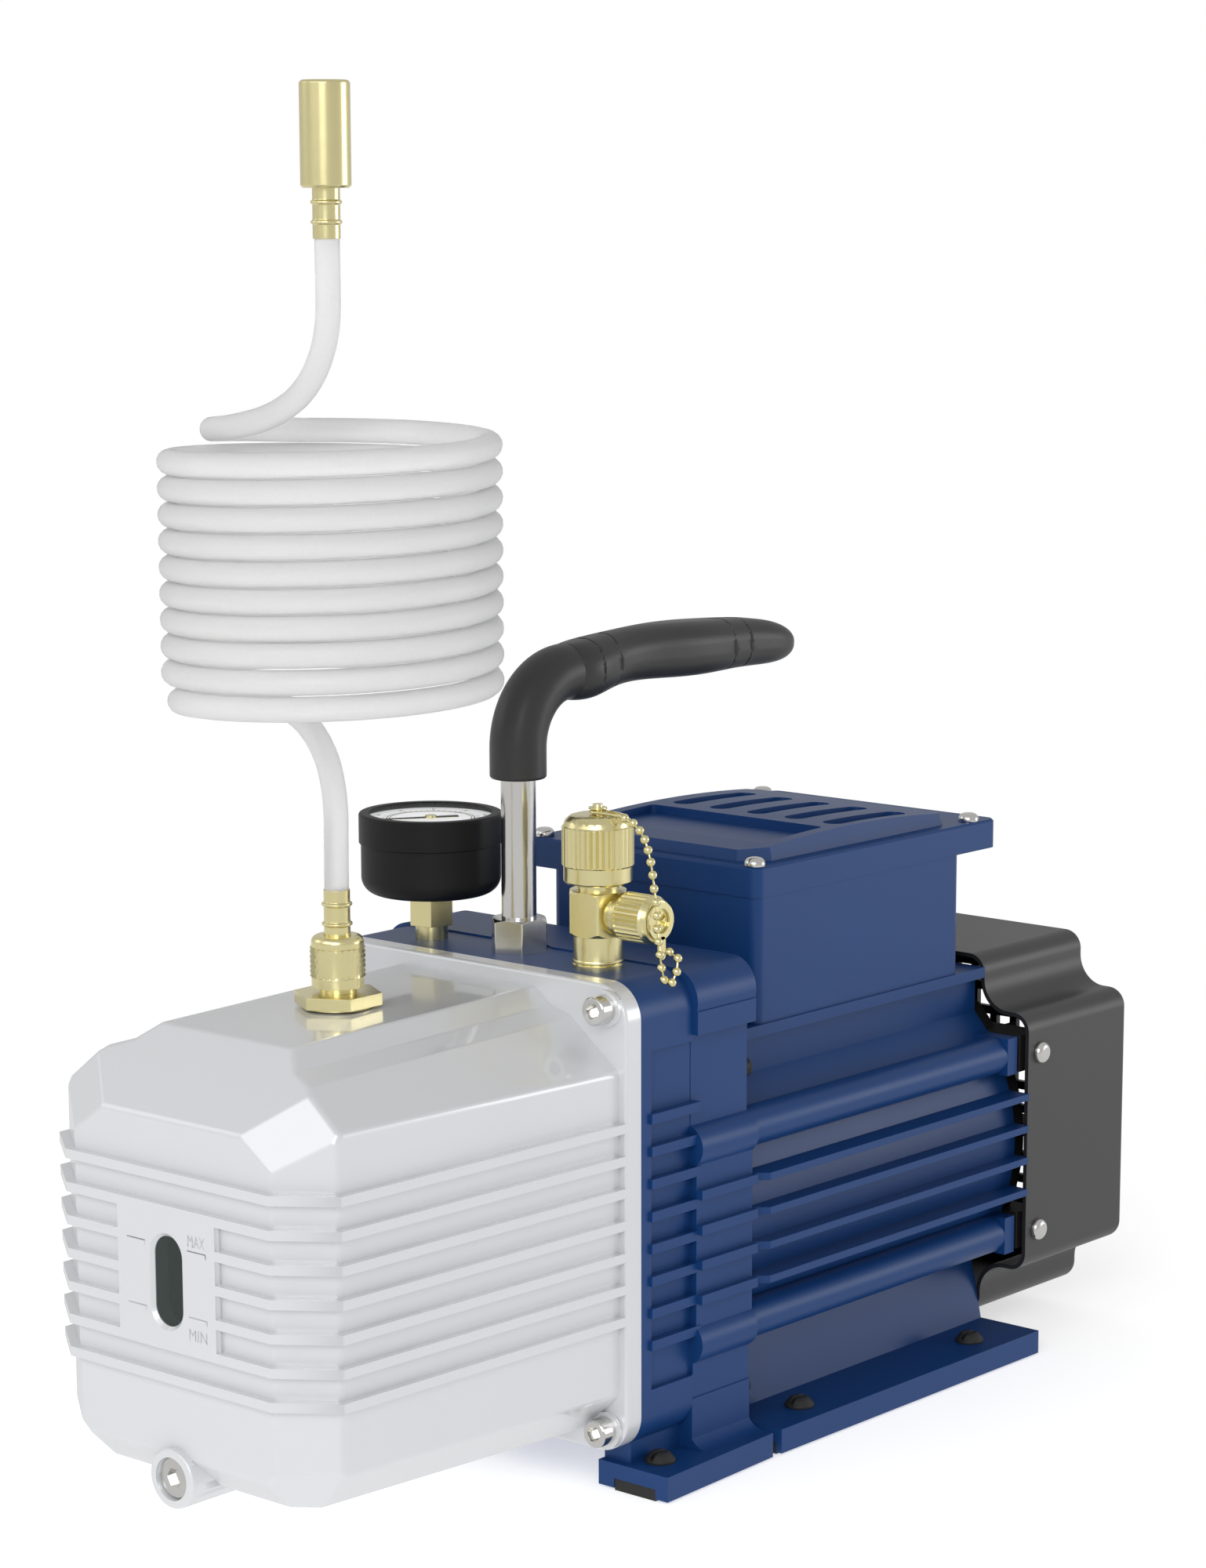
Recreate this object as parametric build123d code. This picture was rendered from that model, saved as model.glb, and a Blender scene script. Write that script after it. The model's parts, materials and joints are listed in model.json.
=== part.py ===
from build123d import *
import os
from math import cos, pi, radians, sin, sqrt, tan

# Rotary vane vacuum pump driven by a foot mounted motor.
# Millimetres, +Z up, the shaft lies along Y and the oil casing faces -Y.
# The origin is on the ground under the centre of the machine.

os.makedirs("parts", exist_ok=True)

# Lengths along the shaft
casing_rib_height = 2.8
casing_depth = 145.4
bracket_depth = 57.8
motor_length = 159.7
cover_length = 65.8
mount_y = -65.8
casing_front_y = mount_y - casing_depth
casing_face_y = casing_front_y - casing_rib_height
bracket_rear_y = mount_y + bracket_depth
motor_rear_y = bracket_rear_y + motor_length
cover_rear_y = motor_rear_y + cover_length

# Every piece is moved by this much at the end, so that the origin is in the middle
centre_shift = -(casing_face_y + cover_rear_y) / 2

# Heights above the ground
axis_z = 80.5
block_bottom_z = 15.0
block_top_z = 175.4
foot_top_z = 9.5
foot_bottom_z = 0.8

# Clearances shared by every fit
fit_gap = 0.05
seat_gap = 0.1
run_gap = 0.3

# Mounting block shared by the casing flange and the bracket
block_width = 140.4
block_corner = 12.5
flange_thickness = 7.5
casing_wall = 4.0
casing_screw_x = block_width / 2 - 8.1
casing_screw_low_z = block_bottom_z + 8.3
casing_screw_high_z = block_top_z - 7.7
casing_screw_diameter = 6.0
casing_screw_head = 9.6

# Oil casing
casing_front_half = 61.4
casing_rear_half = 67.4
casing_top_front_z = 168.4
casing_top_rear_z = 171.2
casing_top_half = 30.0
casing_step_run = 7.3
casing_step_drop = 5.6
casing_ledge_run = 9.2
casing_ledge_drop = 2.8
casing_shoulder_slope = 0.787
casing_floor_front_z = 25.0
casing_floor_rear_z = 22.0
casing_low_chamfer = 14.0
casing_front_chamfer = 16.4
casing_brow_z = 145.5
casing_brow_slope = 43.0
casing_chin_z = 35.2
rib_count = 7
rib_pitch = 11.0
rib_low_z = 62.0
rib_thickness = 3.2
panel_half_width = 22.3
casing_edge_radius = 3.2

# Sight glass
window_width = 12.7
window_height = 29.4
window_z = 93.7
glass_thickness = 4.0
glass_flange = 4.0
glass_seal_thickness = 1.5

# Drain
drain_z = 28.7
drain_boss_diameter = 19.8
drain_boss_length = 34.0
drain_recess = 1.5
drain_head_diameter = 14.0
drain_head_length = 3.0
drain_thread_diameter = 10.0
drain_thread_length = 12.0
drain_seal_thickness = 1.2
drain_hex = 6.0

# Exhaust port and hose fitting
exhaust_y = -135.8
port_hex = 25.7
port_hex_height = 4.0
port_turn = 30.4
port_washer_height = 0.8
port_stub_diameter = 12.0
port_stub_height = 13.0
port_bore = 6.0
union_diameter = 17.2
union_knurl_diameter = 18.2
union_height = 17.0
union_wall = 2.2
barb_diameter = 8.6
barb_ring_diameter = 10.0
barb_collar_diameter = 12.4
barb_collar_height = 2.0
barb_height = 15.0

# Hose, its coil and its end fitting
hose_diameter = 8.0
hose_bore = 5.0
coil_radius = 51.0
coil_bottom_z = 268.0
coil_top_z = 352.0
fitting_neck_z = 417.1
fitting_body_z = 432.9
fitting_top_z = 466.2
fitting_diameter = 16.1
fitting_bore = 11.0
view_east = (0.7626, 0.6469)
view_north = (-0.6469, 0.7626)

# Bracket
bracket_step_y = -39.0
shoulder_half_width = 72.3
shoulder_top_z = 176.0
shoulder_low_z = 154.0
waist_half_width = 68.3
rib_side_half_width = 71.4
pocket_half_width = 68.1
pocket_front_y = -60.5
side_rib_count = 8
side_rib_pitch = 11.15
side_rib_high_z = 129.2
side_rib_thickness = 3.4
bracket_front_wall = 12.0
bracket_cavity_radius = 46.0
ridge_x = 66.0
ridge_rise = 34.3
bracket_boss_radius = 7.8
tie_bolt_diameter = 5.0

# Feet
foot_front_y = -68.0
foot_split_y = -8.0
rear_foot_y = -3.2
rear_foot_end_y = 152.0
foot_outer_front = 83.6
foot_outer_rear = 80.7
foot_inner_x = 53.0
foot_channel_inner = 59.9
foot_channel_outer = 78.2
foot_channel_height = 3.4
foot_leg_x = 75.0
plug_points = ((70.3, -56.2), (68.6, 21.9), (68.6, 124.2))
plug_head_diameter = 10.6
plug_head_height = 3.6
plug_stem_diameter = 6.0
plug_slot_width = 1.4

# Motor
body_radius = 68.5
body_bore = 60.0
pad_half_width = 49.2
pad_top_z = 145.6
pad_lip = 53.7
pad_lip_thickness = 4.0
motor_ridge_x = 64.0
motor_ridge_radius = 7.0
fin_count = 4
fin_pitch = 12.2
fin_half_width = 74.7
fin_thickness = 2.6
fin_start_y = -5.5
lug_length = 9.0
lug_short = 3.0
stator_core_length = 74.0
stator_bore = 34.0
rotor_gap = 0.4
shaft_diameter = 16.0
bearing_outer = 40.0
bearing_bore = 17.0
bearing_width = 12.0
shield_thickness = 8.0
front_shield_thickness = 6.0
fan_radius = 56.0
fan_blades = 9

# Fan cover
cover_half_width = 74.1
cover_half_height = 69.5
cover_neck_half = 53.5
cover_wing_half = 49.5
cover_wall = 1.6
cover_screw_y = 159.3
cover_screw_rise = 34.1
cover_screw_diameter = 4.0
cover_screw_head = 8.3
mesh_pitch = 9.4
mesh_hole = 6.2
grille_thickness = 2.4

# Terminal box
box_left = -42.5
box_right = 52.8
box_front_y = 16.2
box_rear_y = 136.6
box_wall = 3.0
box_floor = 3.0
box_top_z = 190.4
lid_low_z = 190.9
lid_skirt = 2.5
flange_low_z = 191.2
flange_high_z = 195.2
lid_half_width = 53.3
lid_front_y = 15.5
lid_rear_y = 159.0
lid_edge_z = 201.2
lid_crown = 6.5
lid_wall = 3.0
lid_gasket_height = 1.0
lid_screw_x = 49.06
lid_screw_front_y = 19.7
lid_screw_rear_y = 146.1
lid_screw_head = 7.6
slot_count = 5
slot_pitch = 17.6
slot_length = 44.0
slot_width = 8.4

# Handle
rod_y = -48.0
rod_diameter = 12.0
rod_depth = 16.0
handle_nut_across = 18.0
handle_nut_height = 11.5
grip_low_z = 235.1
grip_bend_z = 269.3
grip_centre_z = 271.3
grip_stem_diameter = 19.5
grip_bend_radius = 24.0
grip_end_y = 95.5
grip_width = 21.0

# Gauge
gauge_x, gauge_y = -38.5, -51.0
gauge_stem_diameter = 11.4
gauge_hex = 14.5
gauge_hex_z = 5.0
gauge_case_z = 16.1
gauge_top_z = 44.5
gauge_case_radius = 24.3
gauge_bezel_radius = 25.0
gauge_bezel_height = 10.5
gauge_lip = 0.5
gauge_glass = 0.6
dial_depth = 2.9
dial_thickness = 0.6
gauge_neck_radius = 23.4
dial_radius = 21.4

# Inlet tee
tee_x, tee_y = 39.5, -52.0
tee_hex = 19.0
tee_hex_low = 11.3
tee_hex_high = 26.4
tee_turn = 10.0
tee_branch_z = 18.8
inlet_cap_low = 28.8
inlet_cap_high = 52.0
inlet_cap_diameter = 23.2
inlet_knurl_diameter = 24.3
side_cap_start_x = 49.8
side_cap_end_x = 66.3
side_cap_diameter = 15.6
side_knurl_diameter = 16.6
chain_diameter = 3.2

# Pump module inside the casing
module_radius = 43.0
stage_lengths = (40.0, 22.0)
stage_bore = 29.0
stage_offset = 4.0
plate_thickness = 8.0
module_bolt_radius = 36.0
rotor_radius = stage_bore - stage_offset
vane_thickness = 4.0
pump_shaft_diameter = 16.0

south = (0, -1, 0)


def span_box(x0, x1, y0, y1, z0, z1):
    """Box between two corners"""
    return Pos((x0 + x1) / 2, (y0 + y1) / 2, (z0 + z1) / 2) * Box(x1 - x0, y1 - y0, z1 - z0)


def rod_z(x, y, z0, z1, radius):
    """Upright cylinder between two heights"""
    return Pos(x, y, (z0 + z1) / 2) * Cylinder(radius, z1 - z0)


def rod_along_y(x, z, y0, y1, radius):
    """Cylinder along the shaft direction"""
    return Pos(x, (y0 + y1) / 2, z) * Rot(90, 0, 0) * Cylinder(radius, y1 - y0)


def rod_along_x(y, z, x0, x1, radius):
    """Cylinder across the machine"""
    return Pos((x0 + x1) / 2, y, z) * Rot(0, 90, 0) * Cylinder(radius, x1 - x0)


def hex_z(x, y, z0, z1, across, turn=0.0):
    """Upright hexagonal prism given by its size across flats"""
    outline = RegularPolygon(across / 2, 6, major_radius=False)
    return Pos(x, y, z0) * Rot(0, 0, turn) * extrude(outline, z1 - z0)


def facing_front(y):
    """Sketch plane across the machine, its local X to the right and Y up"""
    return Plane(origin=(0, y, 0), x_dir=(1, 0, 0), z_dir=south)


def slab(sketch, y0, y1):
    """Prism of a front view sketch between two places along the shaft"""
    return extrude(facing_front(y1) * sketch, y1 - y0)


def beyond(point, direction):
    """All the space on the far side of a plane"""
    return Plane(origin=point, z_dir=direction) * Box(900, 900, 300, align=(Align.CENTER, Align.CENTER,
            Align.MIN))


def group(pieces):
    """Separate solids kept together in one node"""
    return Compound(children=[solid for piece in pieces for solid in piece.solids()])


def write(name, shape):
    """One named sub-part to one file, moved to the shared origin"""
    export_step(Pos(0, centre_shift, 0) * shape, f"parts/{name}.step")


def turned(points, x, y):
    """Solid of revolution about an upright axis, from radius and height points"""
    profile = make_face(Polyline(*[(r, 0, z) for r, z in points], close=True))
    return Pos(x, y, 0) * revolve(profile, Axis.Z)


# Oil casing


def casing_form(inset):
    """Drafted outer form of the casing, or its inner form for a positive inset"""

    def section(y, half, top, floor):
        shelf_x = casing_top_half + casing_step_run
        shelf_z = top - casing_step_drop
        ledge_x = shelf_x + casing_ledge_run
        ledge_z = shelf_z - casing_ledge_drop
        corner = casing_low_chamfer
        side_z = ledge_z - casing_shoulder_slope * (half - ledge_x)
        right = [
            (casing_top_half - inset / 2, top - inset),
            (shelf_x - inset / 2, shelf_z - inset),
            (ledge_x - inset / 3, ledge_z - inset),
            (half - inset, side_z - inset / 2),
            (half - inset, floor + corner + inset / 3),
            (half - corner - inset / 3, floor + inset),
        ]
        left = [(-x, z) for x, z in reversed(right)]
        return facing_front(y) * make_face(Polyline(*right, *left, close=True))

    front = section(casing_front_y + inset, casing_front_half, casing_top_front_z, casing_floor_front_z)
    rear = section(mount_y, casing_rear_half, casing_top_rear_z, casing_floor_rear_z)
    form = loft([front, rear], ruled=True)
    front_y = casing_front_y + inset
    brow = radians(casing_brow_slope)
    slope_out = (0, -sin(brow), cos(brow))
    form -= beyond((0, front_y, casing_brow_z - inset / 2), slope_out)
    form -= beyond((0, front_y, casing_chin_z + inset / 2), (0, -1, -1))
    chamfer_x = casing_front_half - casing_front_chamfer - inset / 2
    for side in (-1, 1):
        form -= beyond((side * chamfer_x, front_y, 0), (side * 0.74, -1, 0))
        corner = (side * (casing_front_half - 15.0 - inset / 2), casing_front_y + 6.7 + inset,
                casing_brow_z + 1.5 - inset / 2)
        form -= beyond(corner, (side * 0.32, -0.83, 0.456))
        low_corner = (side * (casing_front_half - 11.4 - inset / 2), casing_front_y + 6.0 + inset,
                casing_chin_z + 1.3 + inset / 2)
        form -= beyond(low_corner, (side * 0.5, -0.6, -0.62))
    return form


def casing_ribs():
    """Ribs that wrap the front and both sides, and the level panel flush with them"""
    shell = casing_form(-casing_rib_height)
    ribs = []
    for index in range(rib_count):
        z = rib_low_z + index * rib_pitch
        low, high = z - rib_thickness / 2, z + rib_thickness / 2
        ribs.append(shell & span_box(-90, 90, casing_face_y - 8, mount_y - flange_thickness + 1, low,
                high))
    panel_low = rib_low_z + rib_pitch - rib_thickness / 2
    panel_high = rib_low_z + 5 * rib_pitch + rib_thickness / 2
    ribs.append(span_box(-panel_half_width, panel_half_width, casing_face_y, casing_front_y + 1,
            panel_low, panel_high))
    return ribs


def block_outline(half_width, low_z, high_z, radius):
    """Rounded rectangle of the mounting block, in the front view"""
    middle = (low_z + high_z) / 2
    return Pos(0, middle) * RectangleRounded(2 * half_width, high_z - low_z, radius)


def window_outline(margin=0.0):
    """Upright slot of the sight window, in the front view"""
    length = window_height - window_width
    outline = SlotCenterToCenter(length, window_width + 2 * margin, rotation=90)
    return Pos(0, window_z) * outline


def oil_casing():
    """Cast oil casing, open at the back, with flange, ribs, drain boss and window"""
    body = casing_form(0)
    outer_edges = body.edges().filter_by(lambda edge: edge.center().Y < mount_y - 1)
    body = fillet(outer_edges, casing_edge_radius)
    flange = slab(block_outline(block_width / 2, block_bottom_z, block_top_z, block_corner),
            mount_y - flange_thickness, mount_y)
    flange = fillet(flange.edges().group_by(Axis.Y)[0], 1.2)
    body += flange
    for x in (-casing_screw_x, casing_screw_x):
        for z in (casing_screw_low_z, casing_screw_high_z):
            body += rod_along_y(x, z, mount_y - flange_thickness - 1.6, mount_y - flange_thickness + 1,
                    casing_screw_head / 2 + 1.4)
    for rib in casing_ribs():
        body += rib
    boss_end = casing_face_y + drain_boss_length
    boss = rod_along_y(0, drain_z, casing_face_y, boss_end, drain_boss_diameter / 2)
    boss = fillet(boss.edges().group_by(Axis.Y)[0], 1.0)
    body += boss
    cavity = casing_form(casing_wall)
    inner = cavity - span_box(-16, 16, casing_front_y, boss_end + casing_wall, 0,
            drain_z + drain_boss_diameter / 2 + 3)
    body -= inner
    body -= casing_openings(boss_end)
    return body


def casing_openings(boss_end):
    """Bores, seats and grooves cut in the casing"""
    flange_front = mount_y - flange_thickness - 4
    cuts = []
    for x in (-casing_screw_x, casing_screw_x):
        for z in (casing_screw_low_z, casing_screw_high_z):
            cuts.append(rod_along_y(x, z, flange_front, mount_y + 1, casing_screw_diameter / 2 + fit_gap))
    window = slab(window_outline(fit_gap), casing_face_y - 1, casing_front_y + casing_wall + 1)
    rim = loft([facing_front(casing_face_y - 0.4) * window_outline(1.6),
            facing_front(casing_face_y + 1.2) * window_outline(fit_gap)])
    cuts += [window, rim]
    head_y = casing_face_y + drain_recess
    seat_y = head_y + drain_head_length + drain_seal_thickness
    cuts.append(rod_along_y(0, drain_z, casing_face_y - 1, seat_y, drain_head_diameter / 2 + seat_gap))
    cuts.append(rod_along_y(0, drain_z, seat_y - 1, boss_end + 2, drain_thread_diameter / 2 + fit_gap))
    top_z = casing_top_at(exhaust_y)
    cuts.append(rod_z(0, exhaust_y, top_z - 12, top_z + 2, port_stub_diameter / 2 + fit_gap))
    groove_outer = block_outline(block_width / 2 - 1.2, block_bottom_z + 1.2, block_top_z - 1.2,
            block_corner - 1.2)
    groove_inner = block_outline(block_width / 2 - 2.9, block_bottom_z + 2.9, block_top_z - 2.9,
            block_corner - 2.9)
    cuts.append(slab(groove_outer - groove_inner, mount_y - 1.2, mount_y + 1))
    return cuts


def casing_top_at(y):
    """Height of the drafted top face at a place along the shaft"""
    share = (y - casing_front_y) / casing_depth
    return casing_top_front_z + share * (casing_top_rear_z - casing_top_front_z)


def casing_gasket():
    """Rubber ring in the groove of the casing flange"""
    outer = block_outline(block_width / 2 - 1.3, block_bottom_z + 1.3, block_top_z - 1.3,
            block_corner - 1.3)
    inner = block_outline(block_width / 2 - 2.8, block_bottom_z + 2.8, block_top_z - 2.8,
            block_corner - 2.8)
    return slab(outer - inner, mount_y - 1.1, mount_y)


def socket_screw_y(x, z, head_y, head_diameter, head_length, shank_diameter, shank_length, hex_size):
    """Socket head screw that points to +Y, its head face at head_y"""
    under_y = head_y + head_length
    head = rod_along_y(x, z, head_y, under_y, head_diameter / 2)
    head = chamfer(head.edges().group_by(Axis.Y)[0], head_diameter / 20)
    screw = head + rod_along_y(x, z, under_y, under_y + shank_length, shank_diameter / 2)
    socket = Pos(x, z) * RegularPolygon(hex_size / 2, 6, major_radius=False)
    return screw - slab(socket, head_y - 0.1, head_y + head_length * 0.6)


def casing_screws():
    """Four screws that hold the casing to the bracket"""
    seat_y = mount_y - flange_thickness - 1.6
    screws = []
    for x in (-casing_screw_x, casing_screw_x):
        for z in (casing_screw_low_z, casing_screw_high_z):
            screws.append(socket_screw_y(x, z, seat_y - 6, casing_screw_head, 6, casing_screw_diameter,
                    22, 5))
    return group(screws)


def sight_glass():
    """Stepped glass: its land fills the slot and its flange bears on the seal inside"""
    inner_y = casing_front_y + casing_wall
    land = slab(window_outline(0), casing_face_y + 1.4, inner_y + glass_seal_thickness)
    flange_y = inner_y + glass_seal_thickness
    return land + slab(window_outline(glass_flange), flange_y, flange_y + glass_thickness)


def sight_glass_gasket():
    """Flat seal between the glass flange and the casing wall"""
    inner_y = casing_front_y + casing_wall
    return slab(window_outline(glass_flange) - window_outline(fit_gap), inner_y,
            inner_y + glass_seal_thickness)


def drain_plug():
    """Socket plug that closes the drain"""
    head_y = casing_face_y + drain_recess
    return socket_screw_y(0, drain_z, head_y, drain_head_diameter, drain_head_length,
            drain_thread_diameter, drain_thread_length, drain_hex)


def drain_plug_seal():
    """Sealing washer under the head of the drain plug"""
    under_y = casing_face_y + drain_recess + drain_head_length
    washer = Circle(drain_head_diameter / 2) - Circle(drain_thread_diameter / 2 + fit_gap)
    return slab(Pos(0, drain_z) * washer, under_y, under_y + drain_seal_thickness)


# Exhaust port, hose and end fitting


def port_seat_z():
    """Height of the casing top where the port screws in"""
    return casing_top_at(exhaust_y) + 0.25


def exhaust_port_nut():
    """Hexagon port with a threaded stub up and a threaded spigot down"""
    base = port_seat_z()
    hex_low = base + port_washer_height
    hex_high = hex_low + port_hex_height
    body = rod_z(0, exhaust_y, base, hex_low, port_hex / 2 - 1)
    body += hex_z(0, exhaust_y, hex_low, hex_high, port_hex, port_turn)
    body += rod_z(0, exhaust_y, hex_high, hex_high + port_stub_height, port_stub_diameter / 2)
    body += rod_z(0, exhaust_y, base - 9, base, port_stub_diameter / 2)
    return body - rod_z(0, exhaust_y, base - 20, hex_high + 30, port_bore / 2)


def union_low_z():
    """Lower rim of the union nut"""
    return port_seat_z() + port_washer_height + port_hex_height + 1.9


def collar_low_z():
    """Underside of the collar of the hose barb, on the stub"""
    return port_seat_z() + port_washer_height + port_hex_height + port_stub_height


def knurled_nut():
    """Union nut with a crossed knurl band"""
    low = union_low_z()
    high = low + union_height
    band_low, band_high = low + 3.4, high - 3.8
    body = rod_z(0, exhaust_y, low, high, union_diameter / 2)
    body = fillet(body.edges().group_by(Axis.Z)[-1], 2.2)
    body += rod_z(0, exhaust_y, band_low, band_high, union_knurl_diameter / 2)
    body -= rod_z(0, exhaust_y, low - 1, high - union_wall, barb_collar_diameter / 2 + 0.2)
    return body - rod_z(0, exhaust_y, low - 1, high + 1, barb_diameter / 2 + run_gap / 3)


def union_washer():
    """Slip washer between the collar of the barb and the top wall of the union nut"""
    low = collar_low_z() + barb_collar_height + fit_gap
    high = union_low_z() + union_height - union_wall - fit_gap
    washer = Circle(barb_collar_diameter / 2) - Circle(barb_diameter / 2 + seat_gap)
    return Pos(0, exhaust_y, low) * extrude(washer, high - low)


def hose_barb():
    """Barb with its collar on the stub and two rings that grip the ferrule"""
    low = collar_low_z()
    collar_top = low + barb_collar_height
    top = union_low_z() + union_height + barb_height
    points = [(port_bore / 2, low), (barb_collar_diameter / 2, low), (barb_collar_diameter / 2,
            collar_top)]
    points += [(barb_diameter / 2, collar_top)]
    for ring_z in (top - 11.3, top - 4.8):
        points += [(barb_diameter / 2, ring_z - 0.8), (barb_ring_diameter / 2, ring_z - 0.3)]
        points += [(barb_ring_diameter / 2, ring_z + 0.3), (barb_diameter / 2, ring_z + 0.8)]
    points += [(barb_diameter / 2, top), (hose_diameter / 2 + fit_gap, top)]
    points += [(hose_diameter / 2 + fit_gap, top - 6), (port_bore / 2, top - 6)]
    return turned(points, 0, exhaust_y)


def barb_top_z():
    """Mouth of the hose barb"""
    return union_low_z() + union_height + barb_height


def hose_point(east, north, z):
    """Place on the hose route, measured from its upright axis"""
    x = east * view_east[0] + north * view_north[0]
    y = exhaust_y + east * view_east[1] + north * view_north[1]
    return Vector(x, y, z)


def hose_tube(route):
    """Hollow tube along straight runs joined by arcs as large as the runs allow"""
    points = [hose_point(*place) for place in route]
    radii = []
    for before, here, after in zip(points, points[1:], points[2:]):
        turn = radians((here - before).get_angle(after - here))
        run = min((here - before).length, (after - here).length)
        radii.append(round(0.45 * run / tan(turn / 2), 2))
    print("hose arc radii", radii)
    path = FilletPolyline(*points, radius=radii)
    start = Plane(origin=path @ 0, z_dir=path % 0)
    ring = Circle(hose_diameter / 2) - Circle(hose_bore / 2)
    tube = sweep(start * ring, path=path)
    section = pi * (hose_diameter ** 2 - hose_bore ** 2) / 4
    print("hose length", round(path.length, 1), "volume share",
            round(tube.volume / (section * path.length), 3))
    return tube


hose_lower_route = [
    (0, 0, barb_top_z() - 5.9),
    (0, 0, 220.8),
    (0.3, 0, 239),
    (-3, 0, 257.3),
    (-13, 0.4, 271.6),
    (-29.3, 0, 277.3),
    (-46.2, -1.5, 276.6),
]

hose_upper_route = [
    (-20.6, 42.4, 354.6),
    (-31, 35, 355.4),
    (-38.6, 24, 356),
    (-39.5, 10, 356.8),
    (-31, 0, 358),
    (-17.5, -2.5, 361.5),
    (-6.5, -0.8, 370),
    (0, 0, 386),
    (0.25, 0, 405.6),
    (0, 0, fitting_neck_z + 7.9),
]


def hose_coil():
    """Outer shape of the wound hose"""
    ring = Circle(coil_radius + hose_diameter / 2) - Circle(coil_radius - hose_diameter / 2)
    return Pos(0, exhaust_y, coil_bottom_z) * extrude(ring, coil_top_z - coil_bottom_z)


def hose_end_fitting():
    """Ferrule neck with two rings under a plain bored cylinder"""
    neck = 4.4
    ring = 5.0
    points = [(hose_diameter / 2 + fit_gap, fitting_neck_z), (neck, fitting_neck_z)]
    for ring_z in (fitting_neck_z + 5.2, fitting_neck_z + 11.4):
        points += [(neck, ring_z - 0.8), (ring, ring_z - 0.3), (ring, ring_z + 0.3), (neck, ring_z + 0.8)]
    body = fitting_diameter / 2
    points += [(neck, fitting_body_z), (body - 0.8, fitting_body_z), (body, fitting_body_z + 0.8)]
    points += [(body, fitting_top_z - 0.8), (body - 0.8, fitting_top_z), (fitting_bore / 2,
            fitting_top_z)]
    points += [(fitting_bore / 2, fitting_top_z - 20), (hose_bore / 2, fitting_top_z - 22)]
    points += [(hose_bore / 2, fitting_neck_z + 8), (hose_diameter / 2 + fit_gap, fitting_neck_z + 8)]
    return turned(points, 0, exhaust_y)


# Bracket and feet


def mirrored(shape):
    """The shape and its mirror image across the middle of the machine"""
    return shape + mirror(shape, about=Plane.YZ)


def foot_plan(x_inner, outer_front, outer_rear, y0, y1):
    """Plan outline of one foot plate on the near side"""
    corners = [(x_inner, y0), (outer_front, y0), (outer_rear, y1), (x_inner, y1)]
    return make_face(Polyline(*corners, close=True))


def foot_outer_at(y):
    """Outer edge of the front foot, which narrows toward the motor"""
    share = (y - foot_front_y) / (foot_split_y - foot_front_y)
    return foot_outer_front + share * (foot_outer_rear - foot_outer_front)


def side_pockets():
    """Pocket and its ribs on the near side of the first bracket section"""
    rear_y = bracket_step_y
    low_z = axis_z - 45.0
    high_z = shoulder_low_z - 2
    pocket = span_box(pocket_half_width, 90, pocket_front_y, rear_y + 1, low_z, high_z)
    ribs = []
    for index in range(side_rib_count):
        z = side_rib_high_z - index * side_rib_pitch
        rib = span_box(pocket_half_width - 2, rib_side_half_width, pocket_front_y - 1, rear_y + 3,
                z - side_rib_thickness / 2, z + side_rib_thickness / 2)
        ribs.append(rib)
    return pocket, ribs


def pump_bracket():
    """Cast bracket that carries the pump module in front and the motor behind"""
    half = block_width / 2
    front = slab(block_outline(half, block_bottom_z, block_top_z, block_corner), mount_y, bracket_step_y)
    rear_high = slab(block_outline(shoulder_half_width, shoulder_low_z, shoulder_top_z, 10.9),
            bracket_step_y, bracket_rear_y)
    rear_high = rear_high + span_box(-shoulder_half_width, shoulder_half_width, bracket_step_y,
            bracket_rear_y, shoulder_low_z, shoulder_low_z + 8)
    rear = span_box(-waist_half_width, waist_half_width, bracket_step_y, bracket_rear_y, block_bottom_z,
            shoulder_low_z + 4)
    body = front + rear_high + rear
    cheek_low, cheek_high = axis_z - ridge_rise, axis_z + ridge_rise
    cheek = span_box(40, rib_side_half_width - 0.4, bracket_step_y, bracket_rear_y, cheek_low, cheek_high)
    cheek += span_box(40, waist_half_width + 1.2, bracket_step_y, bracket_rear_y, block_bottom_z,
            cheek_low)
    for z in (cheek_low, cheek_high):
        cheek += rod_along_y(ridge_x, z, bracket_step_y, bracket_rear_y, bracket_boss_radius)
    for index in range(fin_count):
        z = fin_height(index)
        rib = span_box(60, rib_side_half_width + 2.2, bracket_step_y + 1, bracket_rear_y + 0.0, z - 1.7,
                z + 1.7)
        cheek += rib
    body += mirrored(cheek)
    pocket, ribs = side_pockets()
    body -= pocket + mirror(pocket, about=Plane.YZ)
    for rib in ribs:
        body += mirrored(rib)
    body += mirrored(front_foot())
    body -= bracket_cuts()
    return body


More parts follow.
